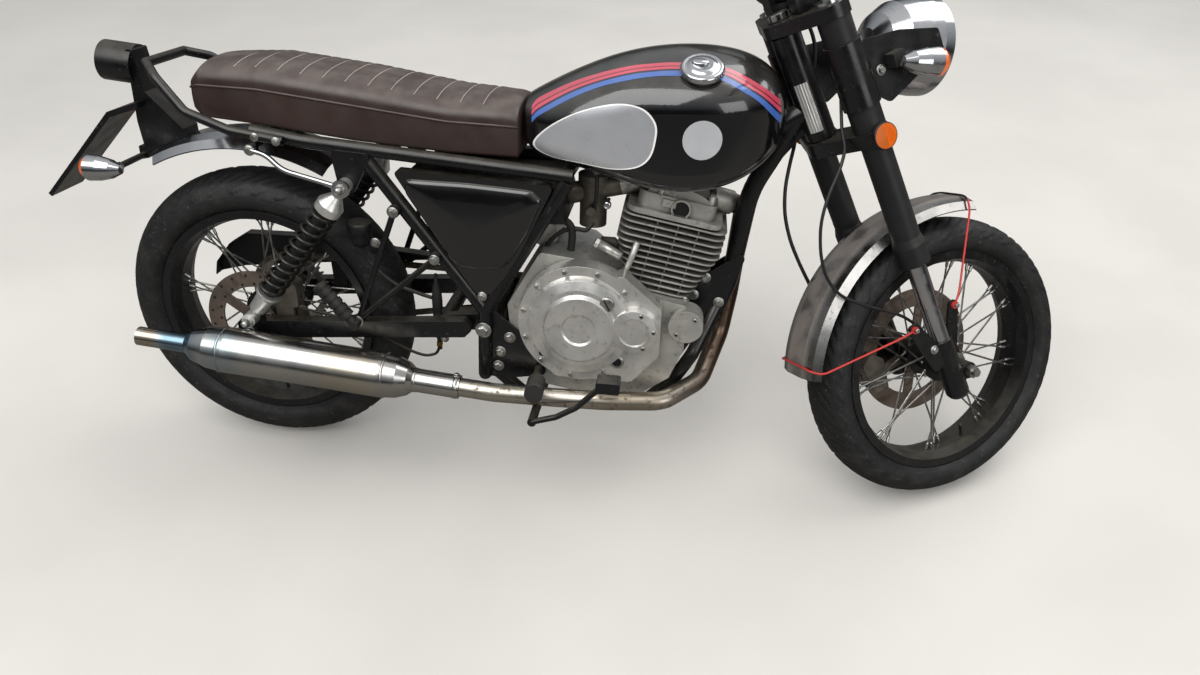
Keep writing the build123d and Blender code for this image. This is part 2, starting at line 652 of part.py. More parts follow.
def cylinder_head():
    """Head with its base, cam cover, breather ring, inlet and exhaust port."""
    low = BARREL_HIGH + GAP
    body = plate(RectangleRounded(184.0, 166.0, 24.0), low, low + 10.0)
    body += plate(RectangleRounded(150.0, 140.0, 20.0), low + 9.0, low + 40.0)
    body += Pos(0, 0, low + 36.0) * Rot(X=90) * extrude(
        Ellipse(62.0, 23.0) & Pos(0, 40) * Rectangle(160.0, 80.0), amount=64.0, both=True)
    body += Pos(8.0, -70.0, low + 22.0) * Rot(X=90) * extrude(Circle(19.0) - Circle(15.5), amount=6.0)
    body += rod(*PORT, 24.0)
    return tilted() * body + rod(INTAKE[0], intake_point(INTAKE_SPLIT), INTAKE_RADIUS)


def intake_point(x):
    """Point on the centre line of the inlet and the carburettor."""
    (x0, _, z0), (x1, _, z1) = INTAKE
    return (x, 0.0, z0 + (x - x0) / (x1 - x0) * (z1 - z0))


def carburettor():
    throat = rod(intake_point(INTAKE_SPLIT - GAP), intake_point(INTAKE[1][0] + GAP), INTAKE_RADIUS)
    bowl = rod((690.0, 0.0, 545.0), (690.0, 0.0, 632.0), 27.0)
    cap = rod((690.0, 0.0, 630.0), (690.0, 0.0, 648.0), 31.0)
    choke = rod((690.0, -20.0, 585.0), (690.0, -48.0, 585.0), 9.0)
    return throat + bowl + cap + choke


def airbox():
    """Black box between the side panels, with its flat face at the carburettor."""
    tip = INTAKE[1]
    along = (Vector(*INTAKE[0]) - Vector(*tip)).normalized()
    half = TUBE_Y - TUBE_RADIUS - 2.0
    face = [(tip[0] + side * along.Z * 32.0, tip[2] - side * along.X * 32.0) for side in (1, -1)]
    shape = outline([(330.0, 640.0), (face[1][0], 640.0), *reversed(face), (556.0, 570.0), (530.0, 470.0),
                     (440.0, 470.0)])
    return slab(shape, -half, half)


# Exhaust

PIPE_RADIUS = 19.0
PIPE_END = Vector(450.0, -172.0, 242.0)
TAIL_END = Vector(-200.0, -194.0, 311.0)
PORT_RUN = 34.0
PIPE_BENDS = ((976.0, 48.0, 400.0), (964.0, 28.0, 312.0), (929.0, -60.0, 240.0),
              (856.0, -134.0, 226.0), (740.0, -153.0, 227.0), (640.0, -158.0, 228.0))
MUFFLER = (
    # distance from the pipe's end, radius
    (0.0, 24.0), (92.0, 24.0), (104.0, 34.0), (125.0, 42.0), (160.0, 46.5), (470.0, 46.5), (510.0, 42.0),
    (540.0, 32.0), (556.0, 19.0),
)


def exhaust_pipe():
    """Header from the port, down beside the frame's tube and under the engine to the right."""
    root, face = [(tilted() * Pos(*point)).position for point in PORT]
    out = (face - root).normalized()
    back = (PIPE_END - TAIL_END).normalized()
    path = [face + out * GAP, face + out * PORT_RUN, *PIPE_BENDS, PIPE_END + back * 70.0,
            PIPE_END + back * GAP]
    radii = (28.0, 90.0, 50.0, 60.0, 70.0, 200.0, 200.0, 200.0)
    return tube(path, PIPE_RADIUS, radii)


def muffler():
    line = Plane(origin=PIPE_END, z_dir=TAIL_END - PIPE_END)
    length = (TAIL_END - PIPE_END).length
    outside = [(radius, along) for along, radius in MUFFLER]
    inside = [(19.0, length), (15.0, length), (15.0, 500.0), (0.0, 500.0)]
    return line.location * turned([(0.0, 0.0)] + outside + inside)


# Tank, seat and body

TANK_SECTIONS = (
    # x, bottom, top, half width, crown radius, shoulder radius, lower corner
    (566.0, 718.0, 796.0, 64.0, 110.0, 24.0, 20.0),
    (600.0, 698.0, 816.0, 100.0, 150.0, 40.0, 34.0),
    (690.0, 681.0, 859.0, 132.0, 190.0, 54.0, 48.0),
    (800.0, 662.0, 890.0, 147.0, 205.0, 58.0, 40.0),
    (890.0, 662.0, 896.0, 148.0, 205.0, 58.0, 40.0),
    (960.0, 682.0, 886.0, 128.0, 180.0, 54.0, 36.0),
    (1012.0, 718.0, 856.0, 88.0, 130.0, 38.0, 26.0),
    (1036.0, 752.0, 812.0, 46.0, 80.0, 20.0, 16.0),
)
TUNNEL_HALF = 32.0
TUNNEL_TOP = 766.0
CAP_PLACE = (880.0, -104.0)
CAP_TILT = 26.0
CAP_HOLE = 25.0
CAP_RADIUS = 38.0
CAP_LIFT = 60.0
NECK_RISE = 5.0


def tank_section(bottom, top, half, crown, shoulder, corner):
    """Upright section of the tank: crowned top, round shoulders, straight sides, flat bottom."""
    rise = math.sqrt((crown - shoulder) ** 2 - (half - shoulder) ** 2)
    hip = top - crown + rise
    turn = math.asin((half - shoulder) / (crown - shoulder))
    seam = (crown * math.sin(turn), top - crown + crown * math.cos(turn))
    middle = (half - shoulder + shoulder * math.sin((turn + math.pi / 2) / 2),
              hip + shoulder * math.cos((turn + math.pi / 2) / 2))
    bend = corner * (1 - math.sqrt(0.5))
    edges = [ThreePointArc((-seam[0], seam[1]), (0.0, top), seam)]
    for side in (1, -1):
        edges.append(ThreePointArc((side * seam[0], seam[1]), (side * middle[0], middle[1]),
                                   (side * half, hip)))
        edges.append(Line((side * half, hip), (side * half, bottom + corner)))
        edges.append(ThreePointArc((side * half, bottom + corner), (side * (half - bend), bottom + bend),
                                   (side * (half - corner), bottom)))
    edges.append(Line((half - corner, bottom), (corner - half, bottom)))
    return make_face(edges)


def cap_place():
    """Seat of the filler cap on the tank's right shoulder, Z out of the neck."""
    crown, top = row_value(TANK_SECTIONS, CAP_PLACE[0], 4), row_value(TANK_SECTIONS, CAP_PLACE[0], 2)
    skin = top - crown + math.sqrt(crown ** 2 - CAP_PLACE[1] ** 2)
    return Pos(CAP_PLACE[0], CAP_PLACE[1], skin) * Rot(CAP_TILT, 0, 0) * Pos(0, 0, NECK_RISE)


def fuel_tank():
    """Teardrop tank through crowned sections, over the spine, with a neck for the cap."""
    faces = [Plane(origin=(x, 0, 0), x_dir=(0, 1, 0), z_dir=(1, 0, 0)) * tank_section(*row)
             for x, *row in TANK_SECTIONS]
    body = loft(faces)
    tunnel = slab(outline([(500.0, 600.0), (1100.0, 600.0), (1100.0, TUNNEL_TOP), (500.0, TUNNEL_TOP)]),
                  -TUNNEL_HALF, TUNNEL_HALF)
    neck = cap_place() * plate(Circle(CAP_HOLE + 9.0), -30.0, 0.0)
    hole = cap_place() * plate(Circle(CAP_HOLE), -24.0, 1.0)
    return body + neck - hole - tunnel - tube(SPINE, SPINE_RADIUS + GAP, 120.0)


def lofted(sections, ruled):
    """Body through upright rounded sections given as x, bottom, top, half width and corner."""
    faces = []
    for x, bottom, top, half, corner in sections:
        section = Plane(origin=(x, 0, (bottom + top) / 2), x_dir=(0, 1, 0), z_dir=(1, 0, 0))
        faces.append(section * RectangleRounded(2 * half, top - bottom, corner))
    return loft(faces, ruled=ruled)


def filler_cap():
    plug = CAP_HOLE - 1.0
    profile = ((0.0, -20.0), (plug, -20.0), (plug, GAP), (CAP_RADIUS, GAP), (CAP_RADIUS, 8.0),
               (CAP_RADIUS - 6.0, 12.0), (0.0, 13.0))
    return cap_place() * turned(profile)


SEAT_SECTIONS = (
    # x, bottom, top, half width, corner
    (-52.0, 752.0, 808.0, 62.0, 20.0),
    (-25.0, 738.0, 832.0, 92.0, 30.0),
    (80.0, 732.0, 838.0, 108.0, 34.0),
    (256.0, 714.0, 820.0, 110.0, 34.0),
    (430.0, 702.0, 795.0, 106.0, 32.0),
    (558.0, 696.0, 789.0, 92.0, 30.0),
)


def seat():
    """Long flat bench, soft, on a flat pan."""
    return lofted(SEAT_SECTIONS, True)


def side_panels():
    """Covers between the V tubes, flush with them."""
    shape = outline([(326.0, 668.0), (630.0, 656.0), (553.0, 492.0), (508.0, 430.0), (478.0, 430.0),
                     (438.0, 486.0)], 8.0)
    panel = slab(shape, -TUBE_Y - TUBE_RADIUS, -TUBE_Y + 8.0)
    radius = TUBE_RADIUS + GAP
    gaps = joined([rod((top[0], -TUBE_Y, top[1]), (V_FOOT[0], -TUBE_Y, V_FOOT[1]), radius)
                   for top in (V_REAR_TOP, V_FRONT_TOP)])
    gaps += crossing(TANK_TUBE[0], TANK_TUBE[1], TANK_TUBE[2] + GAP)
    return both_sides(panel - gaps)


# Tail

def grab_rail():
    """Hoop round the back of the seat, bolted to the rail ends."""
    y = -TUBE_Y - RAIL_RADIUS - 9.0 - GAP
    slope = (RAIL[1][1] - RAIL[0][1]) / (RAIL[1][0] - RAIL[0][0])
    runs = [(x, y, RAIL[0][1] + slope * (x - RAIL[0][0])) for x in (130.0, 30.0)]
    corner = (-148.0, -66.0, 824.0)
    right = tube([*runs, (-56.0, -124.0, 752.0), (-112.0, -106.0, 808.0), corner], 9.0, 30.0)
    bar = rod(corner, (corner[0], -corner[1], corner[2]), 9.0)
    return both_sides(right + Pos(*corner) * Sphere(9.0)) + bar


def arc_fender(inner, half, drop, start, finish, axle_height):
    """Curved sheet round a wheel, from one angle to another, rolled down at its edges."""
    ys = ((-half, -drop), (-0.8 * half, -0.35 * drop), (-0.4 * half, 0.0), (0.4 * half, 0.0),
          (0.8 * half, -0.35 * drop), (half, -drop))
    lower = [(y, inner + fall) for y, fall in ys]
    upper = [(y * (1 + FENDER_SHEET / half), inner + fall + FENDER_SHEET) for y, fall in reversed(ys)]
    # The sheet is revolved from straight up towards the front, then turned back to its start
    arc = revolve(Plane.YZ * make_face(Polyline(*lower, *upper, close=True)), Axis.Y, finish - start)
    return Pos(0, 0, axle_height) * Rot(0, 90.0 - finish, 0) * arc


def rear_fender():
    """Short chrome fender under the tail, round the rear wheel."""
    return arc_fender(FENDER_INNER, 74.0, 22.0, 62.0, 118.0, REAR_TYRE_RADIUS)


LAMP_FRONT = Vector(-205.0, 0.0, 806.0)
LAMP_BACK = Vector(-272.0, 0.0, 812.0)
REAR_SIGNAL = (-205.0, -122.0, 632.0)
SIGNAL_RADIUS = 25.0
SIGNAL_LENGTH = 66.0
SIGNAL_ROOT = 100.0


def tail_lamp():
    """Round lamp on a sheet bracket that sits on the fender, with the blank plate's holder."""
    barrel = rod(LAMP_FRONT, LAMP_BACK, 38.0)
    upright = slab(outline([(-212.0, 838.0), (-200.0, 838.0), (-190.0, 760.0), (-124.0, 690.0),
                            (-124.0, 640.0), (-212.0, 630.0), (-218.0, 700.0)], 3.0), -26.0, 26.0)
    upright -= slab(disc(0.0, REAR_TYRE_RADIUS, FENDER_INNER + FENDER_SHEET + GAP), -27.0, 27.0)
    holder = slab(outline([(-196.0, 744.0), (-262.0, 722.0), (-431.0, 546.0), (-425.0, 540.0),
                           (-258.0, 712.0), (-196.0, 732.0)]), -50.0, 50.0)
    x, _, z = REAR_SIGNAL
    cross = rod((x - 18.0, -SIGNAL_ROOT + GAP, z), (x - 18.0, SIGNAL_ROOT - GAP, z), 6.0)
    web = slab(outline([(-212.0, 650.0), (-212.0, 626.0), (-231.0, 622.0), (-231.0, 650.0)], 3.0), -20.0,
               20.0)
    return barrel + upright + holder + cross + web


def bullet(length, radius):
    """Signal shell along +X from a point to the lens seat."""
    return Rot(0, 90, 0) * turned(((0.0, 0.0), (0.35 * radius, 0.04 * length), (0.72 * radius, 0.3 * length),
                                   (0.94 * radius, 0.65 * length), (radius, length), (0.0, length)))


def lens(radius, depth):
    """Round lens along +X, rounded off at its edge."""
    return Rot(0, 90, 0) * turned(((0.0, 0.0), (radius, 0.0), (0.75 * radius, 0.7 * depth), (0.0, depth)))


def rear_signals():
    x, y, z = REAR_SIGNAL
    shell = Pos(x, y, z) * Rot(0, 180, 0) * bullet(SIGNAL_LENGTH, SIGNAL_RADIUS)
    root = rod((x - 18.0, y, z), (x - 18.0, -SIGNAL_ROOT, z), 8.0)
    return both_sides(shell + root)


def rear_lenses():
    """Lens of the tail lamp and of both rear signals."""
    back = (LAMP_BACK - LAMP_FRONT).normalized()
    lamp = Plane(origin=LAMP_BACK + back * GAP, z_dir=back).location * Rot(0, -90, 0) * lens(34.0, 8.0)
    x, y, z = REAR_SIGNAL
    glass = Pos(x - SIGNAL_LENGTH - GAP, y, z) * Rot(0, 180, 0) * lens(SIGNAL_RADIUS - 1.0, 14.0)
    return lamp + both_sides(glass)


# Controls on the frame

PEDAL_X = 602.0
PEDAL_Z = CRADLE_Z + TUBE_RADIUS + 9.0 + GAP
SHIFT_SHAFT = (650.0, 262.0)


def foot_controls():
    """Brake pedal over the right cradle tube, and the gear lever on its shaft."""
    boss = rod((PEDAL_X, -40.0, PEDAL_Z), (PEDAL_X, -208.0, PEDAL_Z), 9.0)
    pedal = tube([(PEDAL_X, -204.0, PEDAL_Z), (650.0, -205.0, 212.0), (690.0, -205.0, 238.0),
                  (738.0, -204.0, 290.0)],
                 6.0, 30.0)
    pad = slab(outline([(728.0, 284.0), (774.0, 284.0), (774.0, 308.0), (728.0, 308.0)], 5.0), -222.0, -186.0)
    x, z = SHIFT_SHAFT
    shaft = rod((x, CASE_LEFT + GAP, z), (x, 162.0, z), 7.0)
    arm = rod((x, 156.0, z), (x + 90.0, 160.0, z + 4.0), 5.0)
    toe = rod((x + 90.0, 152.0, z + 4.0), (x + 90.0, 200.0, z + 4.0), 9.0)
    return boss + pedal + pad + (shaft + arm + toe)


# Chain

def chain_loop(grow):
    """Side view outline round both sprockets, grown by a distance."""
    rear = disc(0.0, REAR_TYRE_RADIUS, pitch_radius(REAR_TEETH) + grow)
    return make_hull(rear.edges() + disc(*OUTPUT_SHAFT, pitch_radius(FRONT_TEETH) + grow).edges())


def chain():
    """Fixed loop: two rows of link plates beside the teeth, held by pins on the straight runs."""
    band = chain_loop(LINK_HALF) - chain_loop(-LINK_HALF)
    inner = SPROCKET_THICK / 2 + 0.7
    outer = inner + LINK_THICK
    rows = slab(band, CHAIN_Y + inner, CHAIN_Y + outer) + slab(band, CHAIN_Y - outer, CHAIN_Y - inner)
    rear, front = Vector(0.0, 0.0, REAR_TYRE_RADIUS), Vector(OUTPUT_SHAFT[0], 0.0, OUTPUT_SHAFT[1])
    span = front - rear
    spread = math.degrees(math.acos((pitch_radius(REAR_TEETH) - pitch_radius(FRONT_TEETH)) / span.length))
    pins = []
    for side in (-1, 1):
        out = span.normalized().rotate(Axis.Y, side * spread)
        start, end = rear + out * pitch_radius(REAR_TEETH), front + out * pitch_radius(FRONT_TEETH)
        count = int((end - start).length / CHAIN_PITCH) - 5
        for link in range(count):
            place = start + (end - start).normalized() * CHAIN_PITCH * (link + 3)
            pins.append(slab(Pos(place.X, place.Z) * RegularPolygon(3.0, 6), CHAIN_Y - outer + 0.5,
                             CHAIN_Y + outer - 0.5))
    return joined([rows, *pins])


# Steering assembly, in the fork's frame

def yoke_shape(leg_radius, stem_radius):
    """Plan view of a yoke with holes for both fork tubes."""
    shape = make_hull((Pos(LEG_X, LEG_Y) * Circle(leg_radius)).edges() + Circle(stem_radius).edges())
    hole = Circle(STANCHION + GAP)
    return shape + mirror(shape, about=Plane.XZ) - Pos(LEG_X, LEG_Y) * hole - Pos(LEG_X, -LEG_Y) * hole


def top_yoke():
    """Upper yoke with the stem's nut on its washer."""
    low, high = TOP_YOKE
    nut = plate(RegularPolygon(19.0, 6), high, high + 12.0) + plate(Circle(22.0), high - 1.0, high + 2.5)
    return plate(yoke_shape(32.0, 34.0), low, high) + nut


def lower_yoke():
    """Lower yoke with the steering stem and its two bearing cones."""
    low, high = LOWER_YOKE
    cone_radius = HEAD_BORE - GAP
    stem = turned(((0.0, low + 2.0), (24.0, low + 2.0), (24.0, HEAD_LOW - GAP), (cone_radius, HEAD_LOW - GAP),
                   (cone_radius, HEAD_LOW + 15.0), (STEM_RADIUS, HEAD_LOW + 15.0),
                   (STEM_RADIUS, HEAD_HIGH - 15.0), (cone_radius, HEAD_HIGH - 15.0),
                   (cone_radius, HEAD_HIGH + 0.5), (STEM_RADIUS, HEAD_HIGH + 0.5),
                   (STEM_RADIUS, TOP_YOKE[0] - GAP), (0.0, TOP_YOKE[0] - GAP)))
    return plate(yoke_shape(31.0, 32.0), low, high) + stem


def fork_tubes():
    leg = plate(Circle(STANCHION), SLIDER_TOP - 40.0, TOP_YOKE[1] + 2.0)
    return both_sides(Pos(LEG_X, -LEG_Y) * (leg + plate(Circle(STANCHION + 3.0), TOP_YOKE[1] + GAP,
                                                        TOP_YOKE[1] + 7.0)))


SLEEVE_RADIUS = 29.0


def fork_covers():
    """Sleeves between the yokes and long covers below them, with a collar at the foot."""
    bore = STANCHION + GAP
    upper = turned(((bore, LOWER_YOKE[1] + GAP), (SLEEVE_RADIUS, LOWER_YOKE[1] + GAP),
                    (SLEEVE_RADIUS, TOP_YOKE[0] - GAP), (bore, TOP_YOKE[0] - GAP)))
    lower = turned(((bore, 266.0), (30.0, 266.0), (30.0, 306.0), (26.0, 322.0), (26.0, LOWER_YOKE[0] - GAP),
                    (bore, LOWER_YOKE[0] - GAP)))
    return both_sides(Pos(LEG_X, -LEG_Y) * (upper + lower))


CALIPER_FACE = FRONT_DISC_Y + 24.0


def fork_sliders():
    """Black lower legs with the axle lugs ahead of them, the stays' plates and the caliper's lug."""
    leg = turned(((0.0, SLIDER_FOOT), (18.0, SLIDER_FOOT), (SLIDER_RADIUS, SLIDER_FOOT + 8.0),
                  (SLIDER_RADIUS, SLIDER_TOP), (0.0, SLIDER_TOP)))
    lug = slab(disc(AXLE_AHEAD, 0.0, 17.0), -LEG_Y - 16.0, -LEG_Y + 20.0)
    web = slab(outline([(LEG_X, -24.0), (AXLE_AHEAD, -14.0), (AXLE_AHEAD, 14.0), (LEG_X, 30.0)]),
               -LEG_Y - 12.0, -LEG_Y + 12.0)
    stay = slab(outline([(-24.0, 140.0), (-24.0, 158.0), (-6.0, 158.0), (30.0, 82.0), (30.0, 40.0),
                         (0.0, 40.0)], 6.0), -LEG_Y - 14.0, -LEG_Y - 8.0)
    stay += slab(outline([(50.0, 30.0), (92.0, 140.0), (92.0, 156.0), (76.0, 156.0), (50.0, 100.0)], 6.0),
                 -LEG_Y - 14.0, -LEG_Y - 8.0)
    carrier = slab(outline([(40.0, -24.0), (40.0, 64.0), (-44.0, 54.0), (-52.0, -16.0)], 6.0),
                   CALIPER_FACE + GAP, CALIPER_FACE + 10.0)
    bore = Pos(LEG_X, -LEG_Y) * plate(Circle(STANCHION + GAP), SLIDER_TOP - 40.0 - GAP, 200.0)
    hole = rod((AXLE_AHEAD, -200.0, 0.0), (AXLE_AHEAD, 200.0, 0.0), AXLE_RADIUS + GAP)
    return both_sides(Pos(LEG_X, -LEG_Y) * leg + lug + web + stay) + carrier - both_sides(bore) - hole


def front_axle():
    """Axle with its nut, and the speedometer drive and spacer beside the hub."""
    end = LEG_Y + 38.0
    bar = rod((AXLE_AHEAD, -end, 0.0), (AXLE_AHEAD, end - 8.0, 0.0), AXLE_RADIUS)
    nut = slab(Pos(AXLE_AHEAD, 0.0) * RegularPolygon(13.0, 6), -LEG_Y - 30.0, -LEG_Y - 16.0 - GAP)
    drive = slab(disc(AXLE_AHEAD, 0.0, 26.0), -LEG_Y + SLIDER_RADIUS + GAP, -50.0 - GAP)
    spacer = slab(disc(AXLE_AHEAD, 0.0, 13.0), FRONT_DISC_Y + DISC_HALF + GAP, LEG_Y - 20.0 - GAP)
    return bar + nut + drive + spacer


BAR_CLAMP = (28.0, 800.0)
BAR_RADIUS = 11.0
GRIP_INNER = 250.0
GRIP_OUTER = 372.0
BAR_END = 366.0
GRIP_START = (34.0, 864.0)
GRIP_END = (-6.0, 872.0)


def handlebar():
    """Bar in two clamps on the upper yoke."""
    x, z = BAR_CLAMP
    half = [(x, 0.0, z), (x, -70.0, z), (GRIP_START[0], -160.0, GRIP_START[1]),
            (GRIP_END[0], -BAR_END, GRIP_END[1])]
    clamp = slab(outline([(x - 20.0, TOP_YOKE[1] + GAP), (x + 20.0, TOP_YOKE[1] + GAP), (x + 20.0, z + 16.0),
                          (x - 20.0, z + 16.0)], 6.0), -52.0, -28.0)
    return both_sides(tube(half, BAR_RADIUS, 40.0)) + both_sides(clamp)


def bar_point(y):
    """Point of the grip's straight run at a distance across."""
    share = (abs(y) - 160.0) / (BAR_END - 160.0)
    x = GRIP_START[0] + share * (GRIP_END[0] - GRIP_START[0])
    return (x, y, GRIP_START[1] + share * (GRIP_END[1] - GRIP_START[1]))


def grips():
    grip = rod(bar_point(-GRIP_INNER), bar_point(-GRIP_OUTER), 17.0)
    return both_sides(grip - rod(bar_point(-200.0), bar_point(-BAR_END - GAP), BAR_RADIUS + GAP))


def levers():
    """Perches, levers and switch housings inboard of each grip."""
    perch = rod(bar_point(-222.0), bar_point(-244.0), 19.0) + rod(bar_point(-180.0), bar_point(-224.0), 22.0)
    x, y, z = bar_point(-232.0)
    perch += rod((x, y, z), (x + 38.0, y, z - 2.0), 9.0)
    lever = tube([(x + 34.0, y + 4.0, z - 2.0), (x + 46.0, y - 60.0, z - 4.0),
                  (x + 30.0, y - 150.0, z - 4.0)],
                 5.5, 60.0)
    sx, sy, sz = bar_point(-202.0)
    switch = Pos(sx, sy, sz - 22.0) * Box(32.0, 30.0, 36.0)
    bore = rod(bar_point(-165.0), bar_point(-255.0), BAR_RADIUS + GAP)
    return both_sides(perch + lever + switch - bore)


LAMP = (229.0, 610.0)
LAMP_RADIUS = 89.0
LAMP_SIDE = 84.0
EAR_FACE = 94.0


def lamp_place():
    """Centre of the headlight, level with the floor when upright."""
    return Pos(LAMP[0], 0.0, LAMP[1]) * Rot(0, RAKE, 0)


def headlight_shell():
    """Bowl with its rim, and a round boss on each side for the ears' bolts."""
    profile = [(0.0, -96.0), (30.0, -92.0), (58.0, -76.0), (78.0, -48.0), (86.0, -14.0), (LAMP_RADIUS, 14.0),
               (LAMP_RADIUS, 34.0), (LAMP_RADIUS - 7.0, 38.0), (LAMP_RADIUS - 7.0, 24.0), (0.0, 24.0)]
    boss = rod((-20.0, 0.0, 0.0), (-20.0, -EAR_FACE + GAP, 0.0), 10.0)
    return lamp_place() * (Rot(0, 90, 0) * turned(profile) + both_sides(boss))


def headlight_lens():
    radius = LAMP_RADIUS - 7.0 - GAP
    profile = [(0.0, 24.0 + GAP), (radius, 24.0 + GAP), (radius, 36.0), (0.6 * radius, 46.0), (0.0, 50.0)]
    return lamp_place() * Rot(0, 90, 0) * turned(profile)


FRONT_SIGNAL = (108.0, -136.0, 632.0)
SIGNAL_STEP = 18.0
STALK_END = 114.0


def headlight_brackets():
    """Ears clamped round the upper sleeves, with plates to the lamp and the signal stalks."""
    inner, outer = SLEEVE_RADIUS + GAP, SLEEVE_RADIUS + 4.0
    collar = Pos(LEG_X, -LEG_Y) * turned(((inner, 585.0), (outer, 585.0), (outer, 700.0), (inner, 700.0)))
    ear = slab(outline([(70.0, 690.0), (150.0, 672.0), (226.0, 640.0), (226.0, 600.0), (92.0, 566.0),
                        (70.0, 590.0)], 8.0), -EAR_FACE - 5.0, -EAR_FACE)
    root = (FRONT_SIGNAL[0] + SIGNAL_STEP * math.cos(math.radians(RAKE)),
            FRONT_SIGNAL[2] - SIGNAL_STEP * math.sin(math.radians(RAKE)))
    stalk = rod((root[0], -EAR_FACE - 2.0, root[1]), (root[0], -STALK_END + GAP, root[1]), 8.0)
    return both_sides(collar + ear + stalk)


def front_signals():
    x, y, z = FRONT_SIGNAL
    root = rod((SIGNAL_STEP, 0.0, 0.0), (SIGNAL_STEP, -y - STALK_END, 0.0), 8.0)
    return both_sides(Pos(x, y, z) * Rot(0, RAKE, 0) * (bullet(SIGNAL_LENGTH + 6.0, SIGNAL_RADIUS) + root))


def amber_lenses():
    """Lenses of the front signals, and the round reflectors on the lower yoke's ends."""
    x, y, z = FRONT_SIGNAL
    glass = Pos(x, y, z) * Rot(0, RAKE, 0) * Pos(SIGNAL_LENGTH + 6.0 + GAP, 0,
                                                 0) * lens(SIGNAL_RADIUS - 1.0, 14.0)
    side = -LEG_Y - 31.0
    middle = (LOWER_YOKE[0] + LOWER_YOKE[1]) / 2
    reflector = rod((LEG_X, side - GAP, middle), (LEG_X, side - 8.0, middle), 23.0)
    return both_sides(glass) + both_sides(reflector)


def instrument():
    """Round speedometer ahead of the upper yoke, on a flat arm."""
    low = TOP_YOKE[1] + GAP
    case = Pos(96.0, 0.0, 782.0) * Rot(0, -25, 0) * turned(
        ((0.0, -34.0), (34.0, -30.0), (41.0, -10.0), (41.0, 16.0), (37.0, 16.0), (37.0, 12.0), (0.0, 12.0)))
    arm = slab(outline([(24.0, low), (75.0, low), (80.0, low + 6.0), (24.0, low + 6.0)]), -14.0, 14.0)
    return case + arm


FRONT_FENDER_INNER = 334.0
FRONT_FENDER_HALF = 58.0
FRONT_FENDER_DROP = 22.0
FRONT_FENDER_ARC = (87.0, 181.0)


def front_fender():
    """Long front fender, hung by its wires from the plates of the sliders."""
    shell = arc_fender(FRONT_FENDER_INNER, FRONT_FENDER_HALF, FRONT_FENDER_DROP, *FRONT_FENDER_ARC, 0.0)
    return Pos(AXLE_AHEAD, 0, 0) * Rot(0, RAKE, 0) * shell


WIRE_RADIUS = 2.0
WIRE_EYE = 7.0
WIRE_LEAD = 26.0
STAY_FACE = LEG_Y + 14.0
WIRES = (
    # x and z of the eye on the slider's plate, angle at the fender's edge, angle over its crown
    (-15.0, 149.0, 151.0, 150.0),
    (84.0, 147.0, 64.0, 62.0),
)
WIRE_ROUTE = (
    # place across the fender, height over the fender's crown
    (66.0, -18.0),
    (50.0, 0.5),
    (31.0, FENDER_SHEET + GAP + WIRE_RADIUS),
)


def red_wires():
    """Two wires that tie the front fender to the plates: over its crown and down to an eye on each side."""
    wires = Part()
    for x, z, low, high in WIRES:
        eye = (x, -STAY_FACE - GAP - WIRE_RADIUS, z)
        turn = math.radians(low)
        run = Vector(AXLE_AHEAD + 316.0 * math.cos(turn) - x, 0.0,
                     316.0 * math.sin(turn) - z).normalized() * WIRE_LEAD
        half = [eye, (x + run.X, eye[1], z + run.Z)]
        for (y, rise), angle in zip(WIRE_ROUTE, (low, (low + high) / 2, high)):
            turn, radius = math.radians(angle), FRONT_FENDER_INNER + rise
            half.append((AXLE_AHEAD + radius * math.cos(turn), -y, radius * math.sin(turn)))
        points = half + [(px, -py, pz) for px, py, pz in reversed(half)]
        wires += tube(points, WIRE_RADIUS, bend_radii(points))
        wires += both_sides(slab(disc(x, z, WIRE_EYE), eye[1] - WIRE_RADIUS - 1.0,
                                 eye[1] + WIRE_RADIUS + GAP / 2))
    return wires


def bend_radii(points):
    """Largest arc at each corner of a route that leaves a tenth of the shorter run straight."""
    radii = []
    for before, corner, after in zip(points, points[1:], points[2:]):
        first, second = Vector(*corner) - Vector(*before), Vector(*after) - Vector(*corner)
        turn = math.radians(first.get_angle(second))
        radii.append(0.45 * min(first.length, second.length) / math.tan(turn / 2))
    return radii


